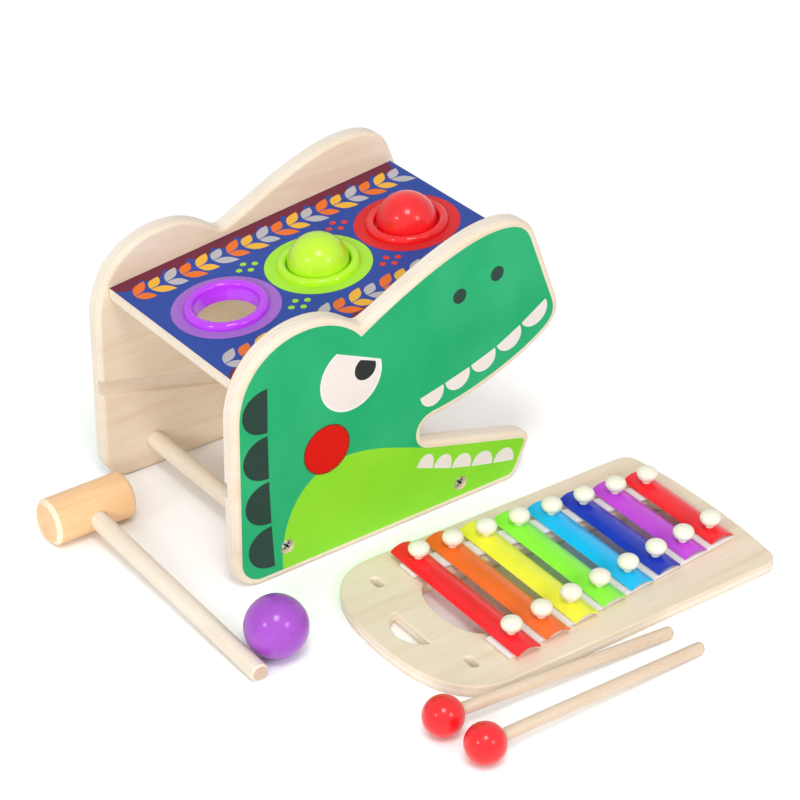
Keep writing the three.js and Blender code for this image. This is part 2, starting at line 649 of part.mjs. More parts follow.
// Xylophone, lying on the floor in front of the bench
function buildXylophone() {
  const xylophone = new THREE.Group();
  xylophone.position.set(XYLO_X, XYLO_Y, 0);
  xylophone.rotation.z = XYLO_TURN;
  const bars = barLayout();
  const section = barSection();
  const crestHeight = BAR_BASE_Z - XYLO_THICKNESS + section.crest;
  xylophone.add(piece('xylophone_board', xyloBoard(bars), FINISH.plywood));
  xylophone.add(piece('felt_strip_far', feltStrip(bars, 1), FINISH.felt));
  xylophone.add(piece('felt_strip_near', feltStrip(bars, -1), FINISH.felt));
  bars.forEach((layout, i) => {
    const color = BAR_COLOURS[i % BAR_COLOURS.length];
    const plate = piece(`bar_${i + 1}`, bar(section, layout), { color, ...BAR_FINISH });
    plate.position.set(layout.x, BAR_ROW_SHIFT, BAR_BASE_Z);
    xylophone.add(plate);
    for (const [row, side] of [['far', 1], ['near', -1]]) {
      const button = piece(`pin_${row}_${i + 1}`, pin(crestHeight), FINISH.pin);
      button.position.set(layout.x, BAR_ROW_SHIFT + side * layout.pinY, XYLO_THICKNESS);
      xylophone.add(button);
    }
  });
  return xylophone;
}

// Hammer, lying on its head and on the far end of its handle
function buildHammer() {
  const drop = (HAMMER_HEAD_DIAMETER - HAMMER_HANDLE_DIAMETER) / 2;
  const hammer = new THREE.Group();
  hammer.position.set(HAMMER_X, HAMMER_Y, HAMMER_HEAD_DIAMETER / 2);
  hammer.rotation.x = Math.asin(drop / HAMMER_REACH);
  hammer.add(piece('hammer_head', hammerHead(), FINISH.beech));
  hammer.add(piece('hammer_handle', hammerHandle(), FINISH.dowel));
  return hammer;
}

// Mallets, lying on their heads and on the far ends of their sticks
function buildMallets() {
  const drop = (MALLET_HEAD_DIAMETER - MALLET_STICK_DIAMETER) / 2;
  const firstY = XYLO_Y - XYLO_WIDTH / 2 - MALLET_FRONT_GAP - MALLET_STICK_DIAMETER / 2;
  return MALLET_X.map((x, i) => {
    const y = firstY - i * (MALLET_HEAD_DIAMETER + MALLET_HEAD_GAP);
    const mallet = new THREE.Group();
    mallet.position.set(x, y, MALLET_HEAD_DIAMETER / 2);
    mallet.rotation.set(0, Math.asin(drop / MALLET_REACH), MALLET_TURN[i], 'ZYX');
    mallet.add(piece(`mallet_head_${i + 1}`, malletHead(), FINISH.red));
    mallet.add(piece(`mallet_stick_${i + 1}`, malletStick(), FINISH.dowel));
    return mallet;
  });
}

// Purple ball on the floor, just clear of the hammer's handle
function buildLooseBall() {
  const radius = BALL_DIAMETER / 2;
  const handle = HAMMER_HANDLE_DIAMETER / 2;
  const across = Math.sqrt((radius + handle + LOOSE_BALL_GAP) ** 2 - (radius - handle) ** 2);
  const loose = piece('ball_purple', ball(BALL_DIAMETER, MEDIUM_SIDES), FINISH.purple);
  const y = HAMMER_Y - HAMMER_REACH + LOOSE_BALL_END_INSET;
  loose.position.set(HAMMER_X + across, y, radius);
  return loose;
}

// The whole set, with its origin on the floor under the middle of the space that it takes up
const set = new THREE.Group();
set.add(buildBench(), buildXylophone(), buildHammer(), ...buildMallets(), buildLooseBall());
set.updateMatrixWorld(true);
const extent = new THREE.Box3().setFromObject(set, true);
const centre = extent.getCenter(new THREE.Vector3());
set.position.set(-centre.x, -centre.y, -extent.min.z);
set.updateMatrixWorld(true);

export default set;
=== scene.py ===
# %% [markdown]
# # Dressing a wooden pounding bench
# The toy is a bench for pounding balls through rings, with a xylophone that slides into its side panels.
# The solids come packed in metres, one node for each piece. This lesson models a finer piece over each
# of them.

# %% Load the imported model
from math import asin, atan2, ceil, cos, hypot, pi, radians, sin, sqrt, tan

import bpy
from mathutils import Matrix, Vector


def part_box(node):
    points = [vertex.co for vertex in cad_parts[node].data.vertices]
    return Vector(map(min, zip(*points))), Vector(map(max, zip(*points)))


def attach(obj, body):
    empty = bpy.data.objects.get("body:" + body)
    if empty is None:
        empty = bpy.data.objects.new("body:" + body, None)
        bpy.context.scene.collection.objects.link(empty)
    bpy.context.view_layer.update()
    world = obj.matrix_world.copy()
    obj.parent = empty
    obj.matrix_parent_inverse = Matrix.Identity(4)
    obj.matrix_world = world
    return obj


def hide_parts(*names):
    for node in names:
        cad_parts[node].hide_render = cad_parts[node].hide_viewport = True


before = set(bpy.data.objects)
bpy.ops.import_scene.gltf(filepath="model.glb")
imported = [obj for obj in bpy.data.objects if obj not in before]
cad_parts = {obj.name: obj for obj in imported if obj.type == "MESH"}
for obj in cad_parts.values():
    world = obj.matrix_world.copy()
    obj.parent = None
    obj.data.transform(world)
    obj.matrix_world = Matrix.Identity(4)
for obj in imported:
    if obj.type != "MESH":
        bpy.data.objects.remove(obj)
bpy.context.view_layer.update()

# %% [markdown]
# The picture is taken from the front left and a little above, with a long lens. A camera's matrix has
# its right, its up and the way back to the viewer as columns. They could be typed in, but working them
# out from yaw, pitch and roll keeps three angles that a person can read and change.

# %% Camera
CAMERA_PLACE = Vector((-0.91352, -1.15837, 1.04827))
CAMERA_YAW = radians(37.75)
CAMERA_PITCH = radians(31.87)
CAMERA_ROLL = radians(0.99)
LENS_MM = 111.85

gaze = Vector((
    sin(CAMERA_YAW) * cos(CAMERA_PITCH),
    cos(CAMERA_YAW) * cos(CAMERA_PITCH),
    -sin(CAMERA_PITCH),
))
level = Vector((cos(CAMERA_YAW), -sin(CAMERA_YAW), 0))
rise = level.cross(gaze)
right = cos(CAMERA_ROLL) * level + sin(CAMERA_ROLL) * rise
up = cos(CAMERA_ROLL) * rise - sin(CAMERA_ROLL) * level

bpy.ops.object.select_all(action="DESELECT")
bpy.ops.object.camera_add()
camera = bpy.context.object
camera.data.lens = LENS_MM
camera.matrix_world = Matrix.Translation(CAMERA_PLACE) @ Matrix((right, up, -gaze)).transposed().to_4x4()
bpy.context.scene.camera = camera
print("camera", CAMERA_PLACE, "lens", LENS_MM)

# %% [markdown]
# The toy stands on the floor of a white studio. A photographer would light the background until it is
# white, but that light would fall on the pale wood too. The Light Path node tells rays that are seen or
# mirrored from rays that carry light, and to the first the floor glows a little. The glow grows towards
# the floor's edge, which the lamps hardly reach. Where things close in on the floor, such as under the
# bars, the Ambient Occlusion node takes it away. All finishes below use the same helper to add nodes.

# %% Node helper and floor
FLOOR_SIZE = 3.2
FLOOR_WHITE = (0.97, 0.97, 0.97, 1)
FLOOR_ROUGHNESS = 0.9
FLOOR_GLOW = 0.3
GLOW_REACH = 0.25
GLOW_STARTS = 0.3
GLOW_FULL = 0.55
GLOW_SAMPLES = 8
FAR_STARTS = 0.5
FAR_FULL = 1.5
FAR_GLOW = 1.7


def add_node(tree, kind, inputs, **settings):
    """Add a shader node. An input takes another node's output, which is linked, or a plain value."""
    node = tree.nodes.new("ShaderNode" + kind)
    for name, value in settings.items():
        setattr(node, name, value)
    for socket, value in inputs.items():
        if isinstance(value, bpy.types.NodeSocket):
            tree.links.new(value, node.inputs[socket])
        else:
            node.inputs[socket].default_value = value
    return node


def seen_value(tree, unseen, seen):
    """A value for rays that show a thing, straight, mirrored or through glass, and one for the rest."""
    ray = add_node(tree, "LightPath", {})
    shows = ray.outputs["Is Camera Ray"]
    for kind in ("Is Glossy Ray", "Is Transmission Ray"):
        shows = add_node(tree, "Math", {0: shows, 1: ray.outputs[kind]}, operation="MAXIMUM").outputs[0]
    return add_node(tree, "MapRange", {"Value": shows, "To Min": unseen, "To Max": seen}).outputs["Result"]


def open_value(tree):
    """0 where things close in on a surface, up to 1 where it lies open."""
    occlusion = add_node(tree, "AmbientOcclusion", {"Distance": GLOW_REACH}, samples=GLOW_SAMPLES)
    limits = {"From Min": GLOW_STARTS, "From Max": GLOW_FULL}
    return add_node(tree, "MapRange", {"Value": occlusion.outputs["AO"], **limits}).outputs["Result"]


def far_value(tree):
    """1 near the toy, and more towards the floor's edge."""
    place = add_node(tree, "TexCoord", {}).outputs["Object"]
    distance = add_node(tree, "VectorMath", {0: place}, operation="LENGTH").outputs["Value"]
    limits = {"From Min": FAR_STARTS, "From Max": FAR_FULL, "To Min": 1, "To Max": FAR_GLOW}
    return add_node(tree, "MapRange", {"Value": distance, **limits}).outputs["Result"]


bpy.ops.object.select_all(action="DESELECT")
bpy.ops.mesh.primitive_plane_add(size=FLOOR_SIZE)
floor = bpy.context.object
floor.name = "floor"
floor_paint = bpy.data.materials.new("floor_paint")
floor_paint.use_nodes = True
floor_tree = floor_paint.node_tree
floor_shader = floor_tree.nodes["Principled BSDF"]
floor_shader.inputs["Base Color"].default_value = FLOOR_WHITE
floor_shader.inputs["Roughness"].default_value = FLOOR_ROUGHNESS
floor_shader.inputs["Emission Color"].default_value = FLOOR_WHITE
glow = seen_value(floor_tree, 0, FLOOR_GLOW)
for share in (open_value(floor_tree), far_value(floor_tree)):
    glow = add_node(floor_tree, "Math", {0: glow, 1: share}, operation="MULTIPLY").outputs[0]
floor_tree.links.new(glow, floor_shader.inputs["Emission Strength"])
floor.data.materials.append(floor_paint)
print("floor", FLOOR_SIZE, "glow", FLOOR_GLOW)

# %% [markdown]
# Four round lamps light the toy: a small one low on the left, one low on the right, one overhead and a
# broad one in front. The front lamp reaches in between the panels, and it isn't mirrored, because its
# image would veil the paint. An even world fills the shadows, and is white where it is seen.

# %% Lamps and world
LAMP_DISTANCE = 4.5
WORLD_LIGHT = 0.42

bpy.context.scene.view_settings.view_transform = "Standard"


def soft_lamp(name, watts, size, bearing, height):
    """Add a round area lamp that looks at the middle of the toy, from two angles in degrees."""
    across = LAMP_DISTANCE * cos(radians(height))
    place = Vector((
        across * cos(radians(bearing)),
        across * sin(radians(bearing)),
        LAMP_DISTANCE * sin(radians(height)),
    ))
    bpy.ops.object.light_add(type="AREA", location=place)
    lamp = bpy.context.object
    lamp.name = name
    lamp.data.shape = "DISK"
    lamp.data.energy = watts
    lamp.data.size = size
    lamp.rotation_euler = (-place).to_track_quat("-Z", "Y").to_euler()
    return lamp


soft_lamp("left_lamp", watts=20, size=0.75, bearing=186, height=31)
soft_lamp("right_lamp", watts=24, size=1.1, bearing=280, height=33)
soft_lamp("overhead_lamp", watts=57, size=1.4, bearing=235, height=64)
front_lamp = soft_lamp("front_lamp", watts=66, size=1.8, bearing=224, height=22)
front_lamp.visible_glossy = False

world = bpy.data.worlds.new("studio")
bpy.context.scene.world = world
world.use_nodes = True
sky = world.node_tree.nodes["Background"]
sky.inputs["Color"].default_value = (1, 1, 1, 1)
world.node_tree.links.new(seen_value(world.node_tree, WORLD_LIGHT, 1), sky.inputs["Strength"])
print("world", WORLD_LIGHT, "lamps", [light.energy for light in bpy.data.lights])

# %% [markdown]
# A maker measures wood in millimetres from a corner of the piece, so each piece is modelled that way
# round its own origin. Its place is a matrix, written into the mesh once the piece is done. The bench's
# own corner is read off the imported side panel, and the other places are set out from it.

# %% Places
MM = 0.001
PANEL_THICKNESS = 15.0
INNER_WIDTH = 160.0
BACK_X = -139.5
BENCH_WIDTH = INNER_WIDTH + 2 * PANEL_THICKNESS
MIDDLE_Y = BENCH_WIDTH / 2
BOARD_TOP_Z = 180.0
BOARD_TILT = radians(6.56)
XYLO_X = 51.0
XYLO_Y = -116.0
XYLO_TURN = radians(-1.5)


def shift(x, y, z):
    return Matrix.Translation((x, y, z))


def turn(angle, axis):
    return Matrix.Rotation(angle, 4, axis)


panel_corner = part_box("side_panel_front")[0]
BENCH = shift(panel_corner[0] - BACK_X * MM, panel_corner[1], 0) @ Matrix.Scale(MM, 4)
DECK = BENCH @ shift(0, MIDDLE_Y, BOARD_TOP_Z) @ turn(-BOARD_TILT, "Y")
STOOD_UP = turn(pi / 2, "X")
FRONT_PANEL = BENCH @ shift(0, PANEL_THICKNESS / 2, 0) @ STOOD_UP
FRONT_TO_REAR = BENCH @ shift(0, BENCH_WIDTH, 0) @ Matrix.Scale(-1, 4, (0, 1, 0)) @ BENCH.inverted()
REAR_PANEL = FRONT_TO_REAR @ FRONT_PANEL
XYLOPHONE = BENCH @ shift(XYLO_X, XYLO_Y, 0) @ turn(XYLO_TURN, "Z")
print("bench corner", BENCH.translation)

# %% [markdown]
# Most Blender operators act on whatever is selected, so a piece is first made the only selected one.
# Settling a piece writes its place into its mesh, turns its faces outwards again if the place mirrors
# it, tells the frame which body carries it and hides the imported node it stands for.

# %% Select and settle
MERGE_DISTANCE = 0.0005


def alone(piece):
    """Make a piece the only selected one."""
    bpy.ops.object.select_all(action="DESELECT")
    piece.select_set(True)
    bpy.context.view_layer.objects.active = piece


def apply_modifier(piece, kind, **settings):
    """Add a modifier to a piece, set it and apply it."""
    modifier = piece.modifiers.new(kind.lower(), kind)
    for name, value in settings.items():
        setattr(modifier, name, value)
    alone(piece)
    bpy.ops.object.modifier_apply(modifier=modifier.name)


def copy_of(piece, name):
    """A second piece with a mesh of its own."""
    alone(piece)
    bpy.ops.object.duplicate()
    twin = bpy.context.object
    twin.name = name
    return twin


def clean_up(piece, smooth_below=35):
    """Merge doubles, turn the faces outwards and shade everything below an angle smooth."""
    alone(piece)
    bpy.ops.object.mode_set(mode="EDIT")
    bpy.ops.mesh.select_all(action="SELECT")
    bpy.ops.mesh.remove_doubles(threshold=MERGE_DISTANCE)
    bpy.ops.mesh.normals_make_consistent(inside=False)
    bpy.ops.object.mode_set(mode="OBJECT")
    bpy.ops.object.shade_smooth_by_angle(angle=radians(smooth_below))


def settle(piece, place, body, finish, node=None, ends=None):
    """Put a piece in its place on its body, with its finish and perhaps another one for its ends."""
    piece.data.transform(place)
    if place.determinant() < 0:
        piece.data.flip_normals()
    apply_modifier(piece, "WEIGHTED_NORMAL", keep_sharp=True)
    piece.data.materials.append(finish)
    if ends:
        piece.data.materials.append(ends)
    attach(piece, body)
    if node:
        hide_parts(node)


print("points closer than", MERGE_DISTANCE, "are merged")

# %% [markdown]
# A finish is a Principled shader with a pattern in front of it. Each pattern is drawn in the piece's own
# millimetres: a Mapping node takes the place off the Object coordinates, so grain runs along a stick
# however the stick lies. Plain numbers go straight onto the shader's sockets.

# %% Finish helper


def srgb(red, green, blue):
    """A screen colour of 0 to 255 as the linear colour that shaders use."""
    levels = (value / 255 for value in (red, green, blue))
    return (*(v / 12.92 if v <= 0.04045 else ((v + 0.055) / 1.055) ** 2.4 for v in levels), 1)


def shade(colour, factor):
    """A lighter or darker version of a colour."""
    return (*(min(1, channel * factor) for channel in colour[:3]), 1)


class Finish:
    """A material, its shader and short calls for the nodes in front of it."""

    def __init__(self, name, place, **plain):
        self.material = bpy.data.materials.new(name)
        self.material.use_nodes = True
        self.tree = self.material.node_tree
        self.shader = self.tree.nodes["Principled BSDF"]
        for socket, value in plain.items():
            self.shader.inputs[socket.replace("_", " ")].default_value = value
        offset, rotation, scale = place.inverted().decompose()
        mapping = self.node("Mapping", {
            "Vector": self.node("TexCoord", {}).outputs["Object"],
            "Location": offset,
            "Rotation": rotation.to_euler(),
            "Scale": scale,
        })
        self.millimetres = mapping.outputs["Vector"]

    def node(self, kind, inputs, **settings):
        return add_node(self.tree, kind, inputs, **settings)

    def noise(self, grain, detail, distortion=0.0):
        """Noise whose spots are about as long, wide and deep as the grain says, in millimetres."""
        shrink = [1 / size for size in grain]
        stretched = self.node("Mapping", {"Vector": self.millimetres, "Scale": shrink}).outputs["Vector"]
        pattern = {"Vector": stretched, "Scale": 1.0, "Detail": detail, "Distortion": distortion}
        return self.node("TexNoise", pattern).outputs["Fac"]

    def height_above(self, level, repeat):
        """How far a point is through a repeat of layers that lie across the thickness."""
        height = self.node("SeparateXYZ", {"Vector": self.millimetres}).outputs["Z"]
        lowered = self.node("Math", {0: height, 1: level}, operation="SUBTRACT").outputs[0]
        counted = self.node("Math", {0: lowered, 1: repeat}, operation="DIVIDE").outputs[0]
        return self.node("Math", {0: counted}, operation="FRACT").outputs[0]

    def ramp(self, value, *stops, steps=False):
        """Colours along a value, each stop a position and a colour."""
        node = self.node("ValToRGB", {"Fac": value})
        node.color_ramp.interpolation = "CONSTANT" if steps else "LINEAR"
        while len(node.color_ramp.elements) < len(stops):
            node.color_ramp.elements.new(1.0)
        for element, (position, colour) in zip(node.color_ramp.elements, stops):
            element.position = position
            element.color = colour
        return node.outputs["Color"]

    def mixed(self, first, second, kind, factor=1.0):
        inputs = {"Factor": factor, "A": first, "B": second}
        return self.node("Mix", inputs, data_type="RGBA", blend_type=kind).outputs["Result"]

    def colour(self, value):
        self.tree.links.new(value, self.shader.inputs["Base Color"])

    def roughness(self, value, low, high):
        spread = self.node("MapRange", {"Value": value, "To Min": low, "To Max": high})
        self.tree.links.new(spread.outputs["Result"], self.shader.inputs["Roughness"])

    def bump(self, value, strength, depth):
        """Small relief, its depth in millimetres."""
        relief = self.node("Bump", {"Height": value, "Strength": strength, "Distance": depth * MM})
        self.tree.links.new(relief.outputs["Normal"], self.shader.inputs["Normal"])


WHITE = srgb(255, 255, 255)
BLACK = srgb(0, 0, 0)
print("finish helper: white is", WHITE, "and black", BLACK)

# %% [markdown]
# The bench is pale plywood, so its sawn edges show layers while its faces show one sheet of long wavy
# grain. Both come from the same coordinates: the layers repeat across the thickness, a stretched noise
# runs along the length, and the core between the two outer sheets is paler than they are. The turned
# pieces are beech or paler woods, all with short flecks: one recipe, with three colours for each wood.

# %% Wood finishes
LAYER_OVERLAP = 0.02
REPEAT_SPARE = 0.06
WOODS = {
    "beech": (srgb(255, 215, 165), srgb(251, 201, 148), srgb(246, 230, 214)),
    # The rim beech is paler partly as end grain and partly as a painted highlight on the hammer's chamfer.
    "beech rim and painted highlight": (srgb(255, 240, 214), srgb(255, 232, 200), srgb(250, 240, 230)),
    "stick wood": (srgb(245, 236, 219), srgb(239, 225, 204), srgb(245, 239, 231)),
    "rosy wood": (srgb(240, 221, 199), srgb(228, 203, 177), srgb(243, 230, 218)),
}


def plywood(name, place, bottom, thickness, plies):
    """Pale plywood in an odd number of layers, so that both faces are the pale sort."""
    finish = Finish(name, place, Specular_IOR_Level=0.3)
    figure = finish.noise((150, 13, 13), detail=5, distortion=0.5)
    fibre = finish.noise((26, 0.9, 0.9), detail=3)
    start = bottom - LAYER_OVERLAP
    two_plies = thickness / (plies / 2 - REPEAT_SPARE)
    layer = finish.height_above(start, two_plies)
    glue_line = srgb(234, 219, 200)
    sheets = finish.ramp(
        layer, (0.0, WHITE), (0.46, glue_line), (0.5, srgb(250, 244, 236)), (0.96, glue_line), steps=True,
    )
    face = finish.ramp(
        figure, (0.3, srgb(249, 234, 213)), (0.52, srgb(247, 230, 207)), (0.7, srgb(241, 220, 193)),
    )
    core = finish.ramp(figure, (0.3, srgb(254, 248, 238)), (0.7, srgb(250, 240, 225)))
    depth = finish.height_above(start, thickness + 2 * LAYER_OVERLAP)
    inside = finish.ramp(depth, (0, BLACK), (1 / plies, WHITE), (1 - 1 / plies, BLACK), steps=True)
    wood = finish.mixed(face, core, "MIX", factor=inside)
    streaks = finish.ramp(fibre, (0.25, srgb(249, 245, 240)), (0.6, WHITE))
    finish.colour(finish.mixed(finish.mixed(wood, sheets, "MULTIPLY"), streaks, "MULTIPLY"))
    finish.roughness(fibre, 0.42, 0.62)
    finish.bump(fibre, 0.25, 0.08)
    return finish.material


def turned_wood(name, place, sort):
    """Wood turned on a lathe, its grain along X, with short flecks."""
    pale, dark, fleck = WOODS[sort]
    finish = Finish(name, place, Specular_IOR_Level=0.4)
    figure = finish.noise((110, 7, 7), detail=5, distortion=0.4)
    flecks = finish.noise((5.5, 0.55, 0.55), detail=2)
    grain = finish.ramp(figure, (0.32, pale), (0.68, dark))
    marks = finish.ramp(flecks, (0.28, fleck), (0.4, WHITE))
    finish.colour(finish.mixed(grain, marks, "MULTIPLY"))
    finish.roughness(figure, 0.38, 0.56)
    finish.bump(flecks, 0.2, 0.06)
    return finish.material


def end_grain(name, tone):
    """The sawn end of a stick, darker than its side because the fibres point outwards."""
    finish = Finish(name, BENCH, Specular_IOR_Level=0.25)
    pores = finish.noise((0.8, 0.8, 0.8), detail=3)
    finish.colour(finish.ramp(pores, (0.32, shade(tone, 0.8)), (0.6, tone)))
    finish.roughness(pores, 0.6, 0.8)
    finish.bump(pores, 0.3, 0.08)
    return finish.material


STICK_END = end_grain("stick_end", srgb(228, 200, 176))
print("wood finishes: plywood, end grain and", *WOODS)

# %% [markdown]
# The colours on the toy are of four kinds: thick gloss paint on the wooden balls, moulded plastic for
# the rings and pins, enamel on the metal bars, and satin ink printed on the wood. Each has a slightly
# uneven colour and a fine relief of its own, because a perfectly even surface looks like a drawing.

# %% Coloured finishes


def coloured(name, colour, second, spot, relief, roughness, **plain):
    """A colour that drifts into a second one over spots of a size, with a fine relief."""
    finish = Finish(name, BENCH, **plain)
    cloud = finish.noise((spot, spot, spot), detail=3)
    finish.colour(finish.ramp(cloud, (0.32, colour), (0.68, second)))
    finish.roughness(cloud, roughness * 0.85, roughness * 1.2)
    finish.bump(finish.noise((1.4, 1.4, 1.4), detail=2), 0.15, relief)
    return finish.material


def gloss_paint(name, colour):
    coat = {"Coat_Weight": 0.4, "Coat_Roughness": 0.05}
    deeper = shade(colour, 0.9)
    return coloured(
        name, colour, deeper, spot=16, relief=0.02, roughness=0.3, Specular_IOR_Level=0.3, **coat,
    )


def moulded_plastic(name, colour):
    deeper = shade(colour, 0.93)
    return coloured(
        name, colour, deeper, spot=22, relief=0.012, roughness=0.1, Specular_IOR_Level=0.5,
    )


def enamel(name, colour):
    coat = {"Coat_Weight": 0.2, "Coat_Roughness": 0.06}
    deeper = shade(colour, 0.93)
    return coloured(
        name, colour, deeper, spot=30, relief=0.015, roughness=0.28, Specular_IOR_Level=0.3, **coat,
    )


def ink(name, colour, second=None):
    second = second or shade(colour, 0.94)
    return coloured(
        name, colour, second, spot=55, relief=0.02, roughness=0.45, Specular_IOR_Level=0.22,
    )


print("coloured finishes: gloss paint, moulded plastic, enamel, ink")

# %% [markdown]
# Flat pieces with curved outlines, such as the panels, are quickest as filled Bezier curves. A curve's
# knots have a handle before and after them, its Extrude gives the thickness and its Bevel rounds the
# edge. An Offset of minus the rounding keeps the outline where it was drawn. Made a mesh, it can be cut.

# %% Outline helper
OUTLINE_STEPS = 20
ROUNDING_STEPS = 5


class Outline:
    """A closed outline drawn from knot to knot, each knot with its handles before and after."""

    def __init__(self, x, y):
        self.knots = [[(x, y), (x, y), (x, y)]]

    def line(self, x, y):
        self.knots.append([(x, y), (x, y), (x, y)])
        return self

    def curve(self, leave, arrive, x, y):
        self.knots[-1][2] = leave
        self.knots.append([arrive, (x, y), (x, y)])
        return self

    def arc(self, x, y, radius_x, radius_y, start, end):
        """Part of an ellipse round (x, y), from one angle to another, going on from the last knot."""
        parts = ceil(abs(end - start) / (pi / 2) - 0.001)
        step = (end - start) / parts
        reach = 4 / 3 * tan(step / 4)
        for i in range(parts):
            a = start + i * step
            b = a + step
            leave = (x + radius_x * (cos(a) - reach * sin(a)), y + radius_y * (sin(a) + reach * cos(a)))
            arrive = (x + radius_x * (cos(b) + reach * sin(b)), y + radius_y * (sin(b) - reach * cos(b)))
            self.curve(leave, arrive, x + radius_x * cos(b), y + radius_y * sin(b))
        return self

    def closed(self):
        """The knots, with a last one that falls on the first taken into it."""
        knots = [list(knot) for knot in self.knots]
        gap = Vector(knots[0][1]) - Vector(knots[-1][1])
        if len(knots) > 2 and gap.length < 0.001:
            knots[0][0] = knots.pop()[0]
        return knots


def ellipse(x, y, radius_x, radius_y):
    return Outline(x + radius_x, y).arc(x, y, radius_x, radius_y, 0, 2 * pi)


def disc(x, y, radius):
    return ellipse(x, y, radius, radius)


def flat_piece(name, outlines, bottom, top, rounding=0.0, inset=0.0):
    """Fill outlines between two heights; an outline inside another one is a hole."""
    drawing = bpy.data.curves.new(name, "CURVE")
    drawing.dimensions = "2D"
    drawing.fill_mode = "BOTH"
    drawing.resolution_u = OUTLINE_STEPS
    drawing.extrude = (top - bottom) / 2 - rounding
    drawing.bevel_depth = rounding
    drawing.bevel_resolution = ROUNDING_STEPS
    drawing.offset = -rounding - inset
    for outline in outlines:
        knots = outline.closed()
        spline = drawing.splines.new("BEZIER")
        spline.bezier_points.add(len(knots) - 1)
        spline.use_cyclic_u = True
        points = spline.bezier_points
        for point, (before, knot, after) in zip(points, knots):
            point.handle_left_type = "FREE"
            point.handle_right_type = "FREE"
            point.co = (*knot, 0)
            point.handle_left = (*before, 0)
            point.handle_right = (*after, 0)
        for i, (before, knot, _) in enumerate(knots):
            _, previous, leave = knots[i - 1]
            if before == knot and leave == previous:
                points[i - 1].handle_right_type = "VECTOR"
                points[i].handle_left_type = "VECTOR"
    piece = bpy.data.objects.new(name, drawing)
    bpy.context.scene.collection.objects.link(piece)
    alone(piece)
    bpy.ops.object.convert(target="MESH")
    piece = bpy.context.object
    piece.data.transform(shift(0, 0, (bottom + top) / 2))
    clean_up(piece)
    return piece


print("steps along a curve", OUTLINE_STEPS, "and round an edge", ROUNDING_STEPS)

# %% [markdown]
# Holes and grooves are cut with the Boolean modifier, as a drill or a saw would cut them: a plain
# cylinder or block is set where the tool goes, taken out of the piece, and thrown away.

# %% Cutting helpers
DRILL_SIDES = 64


def drill(x, y, radius, bottom, top):
    bpy.ops.object.select_all(action="DESELECT")
    middle = (x, y, (bottom + top) / 2)
    bpy.ops.mesh.primitive_cylinder_add(
        vertices=DRILL_SIDES, radius=radius, depth=top - bottom, location=middle,
    )
    return bpy.context.object


def saw(x, y, length, width, bottom, top, angle=0.0):
    bpy.ops.object.select_all(action="DESELECT")
    middle = (x, y, (bottom + top) / 2)
    bpy.ops.mesh.primitive_cube_add(
        size=1, location=middle, rotation=(0, 0, angle), scale=(length, width, top - bottom),
    )
    return bpy.context.object


def cut(piece, *tools, operation="DIFFERENCE"):
    """Take tools out of a piece, or keep only what is inside them."""
    for tool in tools:
        apply_modifier(piece, "BOOLEAN", object=tool, operation=operation, solver="EXACT")
        bpy.data.objects.remove(tool)
    clean_up(piece)


print("sides of a drilled hole", DRILL_SIDES)

# %% [markdown]
# The side panels are the toy's main shape: an animal's head with an open mouth, sawn from plywood with
# a rounded edge. The outline is drawn once. A knot is two coordinates, a heading in degrees and the
# lengths of its handles before and after. A traced outline would need hundreds of points, and would
# wobble where the real saw ran smoothly.

# %% Panel outline
FOOT_RADIUS = 23.0
FOOT_END = (109, 0, 0, 0, 8.5)
CHIN = (127.2, 27, 66, 14.8, 6.4)
JAW_TOP = (120, 39.6, 164.4, 6.7, 0)
MOUTH_FLOOR = (34, 63.7, 164.4, 0, 6.8)
MOUTH_CORNER = (24, 74, 90, 5, 6.5)
MOUTH_ROOF = (36, 85, 5.5, 7, 30)
LIP = (139, 121, 36, 31, 13.5)
NOSE_TIP = (147.2, 151, 112, 14, 0)
NOSE_TOP = (125, 206, 112, 0, 14)
BROW = (88, 226, 180, 22, 45)
VALLEY = (-29, 183.5, 180, 10, 8)
CROWN = (-77, 201, 180, 30, 36)
BACK = (BACK_X, 138, 270, 37, 0)


def handle(knot, reach):
    x, y, heading, _, _ = knot
    return (x + reach * cos(radians(heading)), y + reach * sin(radians(heading)))


def head_outline(valley=VALLEY):
    """The head, counter-clockwise from the foot; neighbours with no reach are joined by a line."""
    outline = Outline(BACK_X + FOOT_RADIUS, 0).line(*FOOT_END[:2])
    knots = (
        FOOT_END, CHIN, JAW_TOP, MOUTH_FLOOR, MOUTH_CORNER, MOUTH_ROOF, LIP,
        NOSE_TIP, NOSE_TOP, BROW, valley, CROWN, BACK,
    )
    for start, end in zip(knots, knots[1:]):
        outline.curve(handle(start, start[4]), handle(end, -end[3]), *end[:2])
    outline.line(BACK_X, FOOT_RADIUS)
    centre = BACK_X + FOOT_RADIUS
    return outline.arc(centre, FOOT_RADIUS, FOOT_RADIUS, FOOT_RADIUS, pi, 1.5 * pi)


print("head outline knots", len(head_outline().closed()))

# %% [markdown]
# Inside, each panel has a sloping slot for the top board, a groove that the xylophone slides into, and
# sockets for the two dowels. Outside, a recess takes each screw's head, and the face is set back by a
# fifth of a millimetre, which leaves room for the printed picture. The rear panel is the same piece
# mirrored, so the front one is cut first and then copied.

